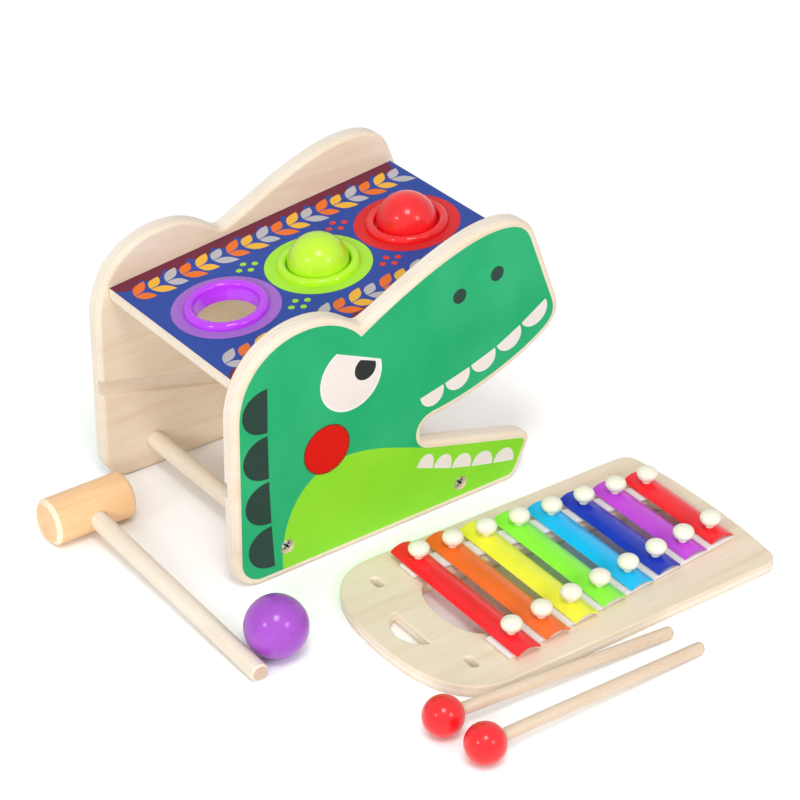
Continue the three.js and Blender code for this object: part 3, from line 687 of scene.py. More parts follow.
# %% Side panels
PANEL_EDGE = 3.5
PANEL_PLIES = 9
PRINT_ROOM = 0.2
OUTSIDE = PANEL_THICKNESS / 2
INSIDE = -PANEL_THICKNESS / 2
FACE = OUTSIDE - PRINT_ROOM
OVERCUT = 2.0
SEAT_GAP = 0.3
BOARD_LENGTH = 257.0
BOARD_CENTRE = -1.5
BOARD_THICKNESS = 10.0
DADO_DEPTH = 5.0
GROOVE_DEPTH = 5.5
GROOVE_HEIGHT = 11.2
GROOVE_FALL = radians(14.5)
GROOVE_MOUTH_Z = 83.5
GROOVE_END_X = 112.0
LIP_EASE = 1.1
LIP_CLEAR = 0.15
DOWELS = {"left": (-95.5, 23.5), "right": (62, 16)}
DOWEL_RADIUS = 7.0
DOWEL_SOCKET = 5.0
SCREW_SHANK = 1.7
SCREW_CLEARANCE = 0.4
SCREW_RECESS_RADIUS = 5.75
SCREW_RECESS = 4.5


def screw_recess(x, y):
    return drill(x, y, SCREW_RECESS_RADIUS, OUTSIDE - SCREW_RECESS, OUTSIDE + OVERCUT)


panel = flat_piece("panel_front", [head_outline()], INSIDE, FACE, rounding=PANEL_EDGE)
slot_middle = Vector((BOARD_CENTRE, -BOARD_THICKNESS / 2))
slot_x = slot_middle.x * cos(BOARD_TILT) - slot_middle.y * sin(BOARD_TILT)
slot_z = BOARD_TOP_Z + slot_middle.x * sin(BOARD_TILT) + slot_middle.y * cos(BOARD_TILT)
slot_length = BOARD_LENGTH + 2 * SEAT_GAP
slot_height = BOARD_THICKNESS + 2 * SEAT_GAP
groove_start = BACK_X - OVERCUT
groove_x = (groove_start + GROOVE_END_X) / 2
groove_z = GROOVE_MOUTH_Z - (groove_x - BACK_X) * tan(GROOVE_FALL)
groove_length = (GROOVE_END_X - groove_start) / cos(GROOVE_FALL)
below = INSIDE - OVERCUT


def lip_cut(side):
    """A bar turned on its edge along one lip of the groove, which takes the sharp corner off it."""
    offset = side * (GROOVE_HEIGHT / 2 - LIP_CLEAR)
    x = groove_x + offset * sin(GROOVE_FALL)
    z = groove_z + offset * cos(GROOVE_FALL)
    half = (LIP_EASE + 2 * LIP_CLEAR) / sqrt(2)
    middle = INSIDE - LIP_CLEAR
    length = groove_length - 2 * LIP_CLEAR
    tool = saw(x, z, length, 2 * half, middle - half, middle + half, -GROOVE_FALL)
    tool.rotation_euler.x = pi / 4
    return tool


cut(
    panel,
    saw(slot_x, slot_z, slot_length, slot_height, below, INSIDE + DADO_DEPTH, BOARD_TILT),
    saw(groove_x, groove_z, groove_length, GROOVE_HEIGHT, below, INSIDE + GROOVE_DEPTH, -GROOVE_FALL),
    lip_cut(1),
    lip_cut(-1),
)
for x, z in DOWELS.values():
    socket = drill(x, z, DOWEL_RADIUS + SEAT_GAP, below, INSIDE + DOWEL_SOCKET)
    shank_hole = drill(x, z, SCREW_SHANK + SCREW_CLEARANCE, below, OUTSIDE)
    cut(panel, socket, shank_hole, screw_recess(x, z))

rear_panel = copy_of(panel, "panel_rear")
for side, piece, place in (("front", panel, FRONT_PANEL), ("rear", rear_panel, REAR_PANEL)):
    wood = plywood(f"plywood_{side}", place, INSIDE, FACE - INSIDE, PANEL_PLIES)
    settle(piece, place, "bench", wood, f"side_panel_{side}")
print("panel faces", len(panel.data.polygons), len(rear_panel.data.polygons))

# %% [markdown]
# The outer faces carry a printed animal. Ink has hardly any thickness, so each colour is a sheet of a
# few hundredths of a millimetre, laid on the one before it, as a screen printer lays them. An image
# could do the same, but outlines stay sharp at any distance. The ground is the head's own outline with
# a wooden margin, and the jaw is the part of that ground that a second shape covers.

# %% Printed skin and jaw
INK_THICKNESS = 0.06
INK_STEP = 0.03
INK_SINK = 0.02
PRINT_MARGIN = 5.2
PRINT_VALLEY = (-30.3, 181.4, 180, 0, 0)

printed = []


def ink_piece(name, outlines, coat, colour, second=None, inset=0.0):
    """A printed colour on a panel; coat 0 lies on the wood and each later one on the one before."""
    bottom = FACE - INK_SINK + coat * INK_STEP
    piece = flat_piece(name, outlines, bottom, bottom + INK_THICKNESS, inset=inset)
    printed.append((piece, ink(name.replace("print", "ink"), colour, second)))
    return piece


margined = {"outlines": [head_outline(PRINT_VALLEY)], "inset": PRINT_MARGIN}
ink_piece("print_skin", coat=0, colour=srgb(44, 184, 122), second=srgb(20, 172, 110), **margined)
jaw = ink_piece("print_jaw", coat=1, colour=srgb(150, 228, 52), second=srgb(138, 222, 40), **margined)
jaw_shape = Outline(-99.5, -20).line(-99.5, 6).curve((-103, 44), (-84, 80), -48, 81)
jaw_shape.curve((-22, 81.6), (2, 70), 25.2, 61.6).line(34, 74).line(170, 74).line(170, -20)
cut(jaw, flat_piece("jaw_shape", [jaw_shape], 0, 2 * OUTSIDE), operation="INTERSECT")
print("jaw faces", len(jaw.data.polygons))

# %% [markdown]
# The back has four dark plates, the nose two nostrils, and the cheek a spot with a brushed rim. The eye
# is a disc with a straight lid across it, drawn as one long arc whose ends are joined by a line, and its
# pupil is the same shape, smaller. The teeth are alike, so a tooth is a function of the two ends of its
# root on the gum.

# %% Printed features
DARK_GREEN = srgb(34, 64, 56)
TOOTH_WHITE = srgb(248, 238, 233)
PALE_RIM = srgb(253, 253, 251)
PLATE_COUNT = 4
PLATE_TOP = 161.0
PLATE_PITCH = 38.1
PLATE_HEIGHT = 35.4
PLATE_BULGE = 28.0
PLATE_ROOT_X = -111.2
PLATE_ROOT_Z = 128
PLATE_ROOT_BEND = 0.00034
NOSTRILS = ((55.6, 178.2, 6), (89.6, 185.7, 6))
CHEEK_RIM = (-61, 92.8, 20)
CHEEK = (-61, 92.8, 18.9)
EYE_RIM = (-40, 144.5, 26.6)
EYE = (-40.2, 144.8, 25.4)
EYE_LID = (14, 118)
PUPIL_RIM = (-27.8, 147.9, 10)
PUPIL = (-27.8, 147.9, 9.3)
PUPIL_LID = (20, 116)
BRUSH_HAIRS = 67
BRUSH_PATCHES = 7
BRUSH_RAGGED = 0.04
POINTS_PER_HAIR = 6
TOOTH_GAP = 0.035
UPPER_TOOTH = 16.5
LOWER_TOOTH = 15.5
UPPER_GUM = [(21, 104.4), (43.6, 109.7), (67.4, 116), (91, 124), (114, 135.6), (137.6, 150.2)]
LOWER_GUM = [(19.4, 45.9), (35, 39.8), (52.1, 33.2), (71.3, 27.5), (92.2, 22.1), (113, 17.4)]


def plate_side(z):
    """The plates stand on a line that bends gently forwards towards the foot."""
    return PLATE_ROOT_X + PLATE_ROOT_BEND * (z - PLATE_ROOT_Z) ** 2


def plate(i):
    top = PLATE_TOP - i * PLATE_PITCH
    bottom = top - PLATE_HEIGHT
    outline = Outline(plate_side(top), top)
    leave = (plate_side(top) - PLATE_BULGE, top)
    arrive = (plate_side(bottom) - PLATE_BULGE, bottom)
    return outline.curve(leave, arrive, plate_side(bottom), bottom)


def lidded_disc(x, y, radius, lid_start, lid_end):
    """A disc cut off by a straight lid between two angles in degrees."""
    first = radians(lid_start)
    outline = Outline(x + radius * cos(first), y + radius * sin(first))
    return outline.arc(x, y, radius, radius, first, radians(lid_end) - 2 * pi)


def brushed_disc(x, y, radius):
    """A disc with the ragged rim that the hairs of a dry brush leave."""
    points = BRUSH_HAIRS * POINTS_PER_HAIR
    angles = [2 * pi * (i + 0.5) / points for i in range(points)]
    rim = [radius * (1 + BRUSH_RAGGED * sin(BRUSH_HAIRS * a) * cos(BRUSH_PATCHES * a)) for a in angles]
    outline = Outline(x + rim[0] * cos(angles[0]), y + rim[0] * sin(angles[0]))
    for a, r in zip(angles[1:], rim[1:]):
        outline.line(x + r * cos(a), y + r * sin(a))
    return outline


def teeth(gum, length, side):
    """Teeth between the points of a gum line; side is 1 if they grow to the left of it, else -1."""
    row = []
    for start, end in zip(gum, gum[1:]):
        along = Vector(end) - Vector(start)
        out = Vector((-along.y, along.x)).normalized() * side * length
        root = Vector(start) + along * TOOTH_GAP
        tip = Vector(end) - along * TOOTH_GAP
        row.append(Outline(*root).line(*tip).curve(tuple(tip + out), tuple(root + out), *root))
    return row


ink_piece("print_plates", [plate(i) for i in range(PLATE_COUNT)], 2, DARK_GREEN)
ink_piece("print_nostrils", [disc(*nostril) for nostril in NOSTRILS], 2, DARK_GREEN)
ink_piece("print_cheek_rim", [brushed_disc(*CHEEK_RIM)], 2, srgb(104, 44, 22))
ink_piece("print_cheek", [brushed_disc(*CHEEK)], 3, srgb(222, 4, 2))
ink_piece("print_eye_rim", [lidded_disc(*EYE_RIM, *EYE_LID)], 2, PALE_RIM)
ink_piece("print_eye", [lidded_disc(*EYE, *EYE_LID)], 3, TOOTH_WHITE)
ink_piece("print_pupil_rim", [lidded_disc(*PUPIL_RIM, *PUPIL_LID)], 4, PALE_RIM)
ink_piece("print_pupil", [lidded_disc(*PUPIL, *PUPIL_LID)], 5, srgb(40, 42, 42))
tooth_rows = teeth(UPPER_GUM, UPPER_TOOTH, -1) + teeth(LOWER_GUM, LOWER_TOOTH, 1)
ink_piece("print_teeth", tooth_rows, 2, TOOTH_WHITE)

for piece, finish in printed:
    cut(piece, *(screw_recess(x, z) for x, z in DOWELS.values()))
    mirrored = copy_of(piece, piece.name + "_rear")
    settle(piece, FRONT_PANEL, "bench", finish)
    settle(mirrored, REAR_PANEL, "bench", finish)
print("printed pieces on each panel", len(printed))

# %% [markdown]
# The top board is a plain rectangle of plywood with three holes. Its long edges sit in the panels, and
# only its two ends show, so a small rounding on the outline is all the edge it needs.

# %% Top board
BOARD_HALF_WIDTH = INNER_WIDTH / 2 + DADO_DEPTH - SEAT_GAP
BOARD_EDGE = 0.7
BOARD_PLIES = 7
RING_PITCH = 81.0
RING_PLACES = {"purple": -RING_PITCH, "green": 0.0, "red": RING_PITCH}
SLEEVE_RADIUS = 25.55
BOARD_START = BOARD_CENTRE - BOARD_LENGTH / 2
BOARD_END = BOARD_CENTRE + BOARD_LENGTH / 2


def rectangle(left, bottom, right, top):
    return Outline(left, bottom).line(right, bottom).line(right, top).line(left, top)


board_outline = rectangle(BOARD_START, -BOARD_HALF_WIDTH, BOARD_END, BOARD_HALF_WIDTH)
board = flat_piece("board", [board_outline], -BOARD_THICKNESS, 0, rounding=BOARD_EDGE)
cut(board, *(
    drill(x, 0, SLEEVE_RADIUS + SEAT_GAP, -BOARD_THICKNESS - OVERCUT, OVERCUT)
    for x in RING_PLACES.values()
))
board_wood = plywood("plywood_board", DECK, -BOARD_THICKNESS, BOARD_THICKNESS, BOARD_PLIES)
settle(board, DECK, "bench", board_wood, "top_board")
print("board faces", len(board.data.polygons))

# %% [markdown]
# The board's top is printed dark blue, with a coloured disc round each ring and a border of its own
# design: leaves along both sides, low waves behind them and dots between. Every leaf is one function of
# a place, a direction and a length, so the whole border follows from a few loops.

# %% Printed top
PRINT_END_MARGIN = 0.8
PRINT_SIDE_MARGIN = 1.0
PRINT_HOLE_RADIUS = SLEEVE_RADIUS + 0.4
DISC_RADIUS = 39.7
DISC_COLOURS = {"purple": srgb(170, 112, 208), "green": srgb(178, 240, 66), "red": srgb(226, 40, 42)}
LEAF_COLOURS = {"orange": srgb(244, 120, 44), "yellow": srgb(250, 190, 66), "grey": srgb(196, 192, 196)}
LEAF_PAIRS = 18
LEAF_START = 8
LEAF_PITCH = 13.6
LEAF_ROW_Y = 58.0
LEAF_SPREAD = 38
LEAF_LENGTHS = (19, 16)
LEAF_STEM = 0.8
LEAF_WIDTH = 5.6
LEAF_BELLY = (0.36, 0.6)
WAVE_LENGTH = 21.0
WAVE_START = 1
WAVE_FOOT = 83
WAVE_HOLLOW = 74
WAVE_REACH = 64
DOT_RADIUS = 2.4
DOT_ROWS = (28, -38)
DOT_OFFSETS = ((0, 0), (7, 5), (-7, 5), (0, 10))
DOT_GROUPS = {"lime": (-RING_PITCH / 2, srgb(170, 224, 60)), "red": (RING_PITCH / 2, srgb(236, 62, 44))}


def board_ink(name, outlines, coat, colour):
    bottom = coat * INK_STEP
    piece = flat_piece(name, outlines, bottom, bottom + INK_THICKNESS)
    settle(piece, DECK, "bench", ink(name.replace("print", "ink"), colour))


def leaf(x, y, angle, length):
    """A pointed leaf that grows from near a point at an angle in degrees."""
    along = Vector((cos(radians(angle)), sin(radians(angle))))
    across = Vector((-along.y, along.x)) * LEAF_WIDTH
    root = Vector((x, y)) + along * LEAF_STEM
    tip = root + along * length
    near, far = (root + along * length * share for share in LEAF_BELLY)
    outline = Outline(*root).curve(tuple(near + across), tuple(far + across), *tip)
    return outline.curve(tuple(far - across), tuple(near - across), *root)


def leaf_row(first, side):
    """Every third pair of leaves on one side of the board; the longer leaf changes from pair to pair."""
    leaves = []
    for i in range(first, LEAF_PAIRS, len(LEAF_COLOURS)):
        x = BOARD_START + LEAF_START + i * LEAF_PITCH
        leaves.append(leaf(x, side * LEAF_ROW_Y, LEAF_SPREAD, LEAF_LENGTHS[i % 2]))
        leaves.append(leaf(x, side * LEAF_ROW_Y, -LEAF_SPREAD, LEAF_LENGTHS[1 - i % 2]))
    return leaves


def wave_band(side):
    """Low waves along one side of the board."""
    quarter = WAVE_LENGTH / 4
    crest = side * WAVE_REACH
    x = BOARD_START + WAVE_START
    outline = Outline(x, side * WAVE_FOOT).line(x, side * WAVE_HOLLOW)
    while x + WAVE_LENGTH < BOARD_END:
        end = x + WAVE_LENGTH
        outline.curve((x + quarter, crest), (x + 3 * quarter, crest), end, side * WAVE_HOLLOW)
        x = end
    return outline.line(x, side * WAVE_FOOT)


def dots(x, y):
    """Four small dots round a place between two discs."""
    return [disc(x + dx, y + dy, DOT_RADIUS) for dx, dy in DOT_OFFSETS]


start = BOARD_START + PRINT_END_MARGIN
end = BOARD_END - PRINT_END_MARGIN
half_width = BOARD_HALF_WIDTH - PRINT_SIDE_MARGIN
holes = {name: disc(x, 0, PRINT_HOLE_RADIUS) for name, x in RING_PLACES.items()}
ground = rectangle(start, -half_width, end, half_width)
board_ink("print_ground", [ground, *holes.values()], 0, srgb(40, 74, 164))
board_ink("print_waves", [wave_band(1), wave_band(-1)], 1, srgb(112, 36, 62))
for i, (name, colour) in enumerate(LEAF_COLOURS.items()):
    opposite = (i + 1) % len(LEAF_COLOURS)
    board_ink(f"print_leaves_{name}", leaf_row(i, 1) + leaf_row(opposite, -1), 2, colour)
for name, (x, colour) in DOT_GROUPS.items():
    board_ink(f"print_dots_{name}", [dot for y in DOT_ROWS for dot in dots(x, y)], 3, colour)
for name, x in RING_PLACES.items():
    board_ink(f"print_disc_{name}", [disc(x, 0, DISC_RADIUS), holes[name]], 4, DISC_COLOURS[name])
print("board prints in", len(LEAF_COLOURS) + len(DOT_GROUPS) + len(DISC_COLOURS) + 2, "colours")

# %% [markdown]
# Rings, dowels, screws, pins and sticks are all round, so they are turned: a profile of radius and
# height is drawn point by point by extruding a single vertex, and Spin carries it round the axis. A
# round corner in a profile is a quarter of an ellipse, added by a formula.

# %% Turning helpers
TURN_STEPS = 72
CORNER_STEPS = 8


def corner(start, end, steps=CORNER_STEPS):
    """Profile points of a quarter ellipse that leaves its start along the height."""
    (r0, h0), (r1, h1) = start, end
    angles = [pi / 2 * i / steps for i in range(steps + 1)]
    return [(r0 + (r1 - r0) * (1 - cos(a)), h0 + (h1 - h0) * sin(a)) for a in angles]


def spun(name, path, steps, angle, centre, axis):
    """Draw a path point by point from a single vertex, and spin it round an axis."""
    bpy.ops.object.select_all(action="DESELECT")
    bpy.ops.mesh.primitive_plane_add(size=1)
    piece = bpy.context.object
    piece.name = name
    bpy.ops.object.mode_set(mode="EDIT")
    bpy.ops.mesh.select_all(action="SELECT")
    bpy.ops.mesh.merge(type="CENTER")
    bpy.ops.transform.translate(value=path[0])
    for start, end in zip(path, path[1:]):
        step = tuple(b - a for a, b in zip(start, end))
        bpy.ops.mesh.extrude_vertices_move(TRANSFORM_OT_translate={"value": step})
    bpy.ops.mesh.select_all(action="SELECT")
    bpy.ops.mesh.spin(steps=steps, angle=angle, center=centre, axis=axis)
    bpy.ops.object.mode_set(mode="OBJECT")
    clean_up(piece)
    return piece


def turned(name, profile):
    """Spin a profile of radius and height points about the Z axis."""
    path = [(radius, 0, height) for radius, height in profile]
    return spun(name, path, TURN_STEPS, angle=2 * pi, centre=(0, 0, 0), axis=(0, 0, 1))


print("steps round a turned piece", TURN_STEPS, "and round a corner", CORNER_STEPS)

# %% [markdown]
# Each ring is moulded plastic: a rounded flange lies on the board, and a sleeve narrows downwards until
# it grips the ball, then lines the rest of the hole. One ring is turned, and the other two are copies in
# their own colours.

# %% Rings
FLANGE_RADIUS = 31.25
MOUTH = (23.9, 2.2)
THROAT = (22.15, -5.0)
CREST = ((FLANGE_RADIUS + MOUTH[0]) / 2, 5.0)
SKIRT_END = -9.4
SKIRT_EASE = 0.5
PLASTIC = {"purple": srgb(196, 58, 252), "green": srgb(188, 250, 26), "red": srgb(246, 24, 32)}

ring_profile = [
    (SLEEVE_RADIUS, SEAT_GAP),
    *corner((FLANGE_RADIUS, SEAT_GAP), CREST),
    *corner(MOUTH, CREST)[-2::-1],
    THROAT,
    (THROAT[0] + SKIRT_EASE, SKIRT_END + SKIRT_EASE),
    (THROAT[0] + 2 * SKIRT_EASE, SKIRT_END),
    (SLEEVE_RADIUS - SKIRT_EASE, SKIRT_END),
    (SLEEVE_RADIUS, SKIRT_END + SKIRT_EASE),
    (SLEEVE_RADIUS, SEAT_GAP),
]
first_ring = turned("ring", ring_profile)
for name, x in RING_PLACES.items():
    ring = copy_of(first_ring, f"grip_ring_{name}")
    plastic = moulded_plastic(f"plastic_{name}", PLASTIC[name])
    settle(ring, DECK @ shift(x, 0, 0), "bench", plastic, f"ring_{name}")
bpy.data.objects.remove(first_ring)
print("ring profile points", len(ring_profile))

# %% [markdown]
# A ball needs even faces all round, which a turned one lacks at its poles. A cube, subdivided and cast
# onto a sphere by a modifier, has them. The mallets' heads are made the same way, smaller, each with a
# drilled socket for its stick.

# %% Balls
BALL_RADIUS = 22.75
BALL_LEVELS = 5


def ball(name, radius):
    bpy.ops.object.select_all(action="DESELECT")
    bpy.ops.mesh.primitive_cube_add(size=2 * radius)
    piece = bpy.context.object
    piece.name = name
    levels = {"levels": BALL_LEVELS, "render_levels": BALL_LEVELS}
    apply_modifier(piece, "SUBSURF", subdivision_type="SIMPLE", **levels)
    apply_modifier(piece, "CAST", cast_type="SPHERE", factor=1.0, size=radius, use_radius_as_size=False)
    clean_up(piece)
    return piece


PAINT_COLOURS = {"purple": srgb(171, 79, 207), "green": srgb(198, 250, 46), "red": srgb(250, 32, 38)}
PAINT = {name: gloss_paint(f"paint_{name}", colour) for name, colour in PAINT_COLOURS.items()}
first_ball = ball("ball", BALL_RADIUS)
for name, paint in PAINT.items():
    low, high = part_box(f"ball_{name}")
    centre = (Vector(low) + Vector(high)) / 2
    painted = copy_of(first_ball, f"painted_ball_{name}")
    place = Matrix.Translation(centre) @ Matrix.Scale(MM, 4)
    settle(painted, place, f"{name}_ball", paint, f"ball_{name}")
bpy.data.objects.remove(first_ball)
print("ball faces", len(painted.data.polygons))

# %% [markdown]
# Two dowels hold the panels apart. Each is a straight stick with eased edges, so it is turned along Z
# and laid along Y by its place. The grain has to run along X in the finish, so the finish has a place
# of its own, turned the other way.

# %% Dowels
DOWEL_LENGTH = INNER_WIDTH + 2 * (DOWEL_SOCKET - SEAT_GAP)
DOWEL_CHAMFER = 0.8
TIP_STEPS = 4
FLAT_END = 0.99
PILOT_DEPTH = 25.0
PILOT_RADIUS = SCREW_SHANK + SEAT_GAP
ALONG_X = turn(-pi / 2, "Y")


def stick(name, radius, length, ease):
    """A round stick along Z from 0, with rounded edges and flat ends that take a finish of their own."""
    tip = corner((radius, length - ease), (radius - ease, length), steps=TIP_STEPS)
    start = [(r, length - h) for r, h in reversed(tip)]
    piece = turned(name, [(0, 0), *start, *tip, (0, length)])
    for face in piece.data.polygons:
        face.material_index = 1 if abs(face.normal.z) > FLAT_END else 0
    return piece


for name, (x, z) in DOWELS.items():
    dowel = stick(f"cross_dowel_{name}", DOWEL_RADIUS, DOWEL_LENGTH, DOWEL_CHAMFER)
    cut(
        dowel,
        drill(0, 0, PILOT_RADIUS, -OVERCUT, PILOT_DEPTH),
        drill(0, 0, PILOT_RADIUS, DOWEL_LENGTH - PILOT_DEPTH, DOWEL_LENGTH + OVERCUT),
    )
    place = BENCH @ shift(x, MIDDLE_Y - DOWEL_LENGTH / 2, z) @ turn(-pi / 2, "X")
    wood = turned_wood(f"dowel_{name}", place @ ALONG_X, "stick wood")
    settle(dowel, place, "bench", wood, f"dowel_{name}", ends=STICK_END)
print("dowel length", DOWEL_LENGTH)

# %% [markdown]
# A screw holds each end of each dowel. Only the heads show: a low dome with a cross recess, cut by two
# thin blocks. The finish is bright nickel, with fine marks that catch the light, and the cross gets a dark
# colour as painted shade.

# %% Screws
SCREW_HEAD = 4.5
SCREW_HEAD_HEIGHT = 3.0
SCREW_RIM = 1.0
SCREW_LENGTH = 30.0
CROSS_LENGTH = 6.2
CROSS_WIDTH = 1.4
CROSS_FLOOR = 0.8
FLOOR_MARGIN = 0.1
STEEP = 0.2
HEAD_SEAT = SCREW_RECESS - SEAT_GAP
SCREW_SIDES = {"front": (HEAD_SEAT, pi / 2), "rear": (BENCH_WIDTH - HEAD_SEAT, -pi / 2)}

nickel = Finish("nickel", BENCH, Metallic=1.0, Specular_IOR_Level=0.5)
brushed = nickel.noise((0.25, 0.25, 2.5), detail=3)
nickel.colour(nickel.ramp(brushed, (0.3, srgb(176, 176, 172)), (0.7, srgb(216, 215, 210))))
nickel.roughness(brushed, 0.22, 0.4)
nickel.bump(brushed, 0.2, 0.02)
# The cross recess gets a dark finish of its own, which is painted shade.
cross_painted_shade = Finish("cross_recess_painted_shade", BENCH, Metallic=0.4, Specular_IOR_Level=0.2)
shade_specks = cross_painted_shade.noise((0.4, 0.4, 0.4), detail=2)
cross_painted_shade.colour(cross_painted_shade.ramp(shade_specks, (0.3, srgb(40, 38, 36)), (0.7, srgb(66, 64, 60))))
cross_painted_shade.roughness(shade_specks, 0.5, 0.7)

dome = corner((SCREW_HEAD, SCREW_RIM), (0, SCREW_HEAD_HEIGHT))
point = [(0, -SCREW_LENGTH), (SCREW_SHANK, SCREW_SHANK - SCREW_LENGTH)]
first_screw = turned("screw", [*point, (SCREW_SHANK, 0), (SCREW_HEAD, 0), *dome])
top = SCREW_HEAD_HEIGHT + OVERCUT
cut(
    first_screw,
    saw(0, 0, CROSS_LENGTH, CROSS_WIDTH, CROSS_FLOOR, top, pi / 4),
    saw(0, 0, CROSS_LENGTH, CROSS_WIDTH, CROSS_FLOOR, top, -pi / 4),
)
# Faces inside the cross take the dark finish, painted shade for the recess.
for face in first_screw.data.polygons:
    height = face.center.z - CROSS_FLOOR
    in_cross = face.center.xy.length < CROSS_LENGTH / 2 and height > -FLOOR_MARGIN
    cut_face = abs(face.normal.z) < STEEP or height < FLOOR_MARGIN
    face.material_index = 1 if in_cross and cut_face else 0
for side, (y, lean) in SCREW_SIDES.items():
    for name, (x, z) in DOWELS.items():
        screw = copy_of(first_screw, f"cross_screw_{side}_{name}")
        place = BENCH @ shift(x, y, z) @ turn(lean, "X")
        node = f"screw_{side}_{name}"
        settle(screw, place, "bench", nickel.material, node, ends=cross_painted_shade.material)
bpy.data.objects.remove(first_screw)
print("screw faces", len(screw.data.polygons))

# %% [markdown]
# The xylophone's board has one bowed end to hold, a finger slot and two cord slots there, and a long
# hole under the bars that lets them ring. Outlines inside the board's own outline become holes when the
# curve is filled, and they get the same rounded edge.

# %% Xylophone board
XYLO_THICKNESS = 9.0
XYLO_PLIES = 5
XYLO_EDGE = 1.6
XYLO_INSET = 0.05
XYLO_LENGTH = 302.0
XYLO_HALF = XYLO_LENGTH / 2
XYLO_SIDE = 84.5
BOW = 53.0
BOW_SIDE_EASE = 34.0
BOW_TIP_EASE = 58.0
END_BOW = 4.5
END_CORNER = 15.0
ROW_Y = 2.0
CORD_SLOT_Y = 55.5


def bent(outline, control, x, y):
    """A curve with one control point, as a handle two thirds of the way to it from either end."""
    cx, cy = control
    x0, y0 = outline.knots[-1][1]
    leave = (x0 + (cx - x0) * 2 / 3, y0 + (cy - y0) * 2 / 3)
    arrive = (x + (cx - x) * 2 / 3, y + (cy - y) * 2 / 3)
    return outline.curve(leave, arrive, x, y)


def xylophone_outline():
    shoulder = BOW - XYLO_HALF
    end = XYLO_HALF - END_BOW
    outline = Outline(shoulder, -XYLO_SIDE).line(end - END_CORNER, -XYLO_SIDE)
    bent(outline, (end, -XYLO_SIDE), end, END_CORNER - XYLO_SIDE)
    bent(outline, (XYLO_HALF, -XYLO_SIDE / 2), XYLO_HALF, 0)
    bent(outline, (XYLO_HALF, XYLO_SIDE / 2), end, XYLO_SIDE - END_CORNER)
    bent(outline, (end, XYLO_SIDE), end - END_CORNER, XYLO_SIDE)
    outline.line(shoulder, XYLO_SIDE)
    ease = shoulder - BOW_SIDE_EASE
    outline.curve((ease, XYLO_SIDE), (-XYLO_HALF, BOW_TIP_EASE), -XYLO_HALF, 0)
    return outline.curve((-XYLO_HALF, -BOW_TIP_EASE), (ease, -XYLO_SIDE), shoulder, -XYLO_SIDE)


def finger_slot(length=42.0, width=14.0, inset=16.0):
    radius = (length ** 2 / 4 + width ** 2) / (2 * width)
    spread = atan2(length / 2, radius - width)
    x = inset - XYLO_HALF + radius
    outline = Outline(x - radius * cos(spread), radius * sin(spread))
    return outline.arc(x, 0, radius, radius, pi - spread, pi + spread)


def cord_slot(y, length=12.0, radius=3.0, inset=41.0):
    x = inset - XYLO_HALF
    reach = length / 2 - radius
    outline = Outline(x + radius, y + reach).arc(x, y + reach, radius, radius, 0, pi)
    return outline.line(x - radius, y - reach).arc(x, y - reach, radius, radius, pi, 2 * pi)


def sound_hole(start=54.5, end=22.0, bow=16.0, wide=35.0, narrow=23.0):
    left = start - XYLO_HALF + bow
    right = XYLO_HALF - end - bow
    outline = Outline(left, ROW_Y + wide).arc(left, ROW_Y, bow, wide, pi / 2, 1.5 * pi)
    return outline.line(right, ROW_Y - narrow).arc(right, ROW_Y, bow, narrow, -pi / 2, pi / 2)


cord_slots = [cord_slot(ROW_Y + side * CORD_SLOT_Y) for side in (1, -1)]
xylophone_outlines = [xylophone_outline(), finger_slot(), *cord_slots, sound_hole()]
xylophone_board = flat_piece(
    "xylophone_sheet", xylophone_outlines, 0, XYLO_THICKNESS, rounding=XYLO_EDGE, inset=XYLO_INSET,
)
xylophone_wood = plywood("plywood_xylophone", XYLOPHONE, 0, XYLO_THICKNESS, XYLO_PLIES)
settle(xylophone_board, XYLOPHONE, "xylophone", xylophone_wood, "xylophone_board")
print("xylophone board faces", len(xylophone_board.data.polygons))

# %% [markdown]
# The bars lie on two strips of pressed felt, which let them ring. Felt isn't a clean block: its surface
# is a little lumpy and its edges are soft. A strip is filled flat, remeshed into an even net, and pushed
# in and out by a fine cloud texture. The strips' slope follows the two rows of pins.

# %% Felt strips
BAR_COUNT = 8
FIRST_BAR = 76.0
BAR_PITCH = 28.2
BAR_WIDTH = 21.6
BAR_LONGEST = 148.5
BAR_STEP = 7.0
FELT_THICKNESS = 3.5
FELT_INNER = 12.0
FELT_END = 0.8
FELT_ROWS = {"far": (1, 6.0, 1.2), "near": (-1, 15.0, 2.8)}
FELT_BOTTOM = XYLO_THICKNESS + SEAT_GAP
FELT_EDGE = 1.2
FELT_NET = 0.75
FELT_SMOOTH = 80
FELT_LUMP = 0.14
LUMP_SIZE = 2.2
PIN_HOLE = 3.6
PIN_INSET = 20.5
PIN_INSET_STEP = 0.85


def bar_x(i):
    return FIRST_BAR - XYLO_HALF + i * BAR_PITCH


def bar_length(i):
    return BAR_LONGEST - i * BAR_STEP


def pin_y(i):
    """How far the pins of a bar stand from the middle of the row."""
    return bar_length(i) / 2 - (PIN_INSET - PIN_INSET_STEP * i)


felt = Finish("pressed_felt", XYLOPHONE, Roughness=0.95, Sheen_Weight=0.5, Sheen_Roughness=0.5)
fibres = felt.noise((1.6, 0.35, 0.35), detail=4, distortion=1.2)
felt.colour(felt.ramp(fibres, (0.3, srgb(230, 221, 220)), (0.62, srgb(245, 239, 238))))
felt.bump(fibres, 0.3, 0.15)

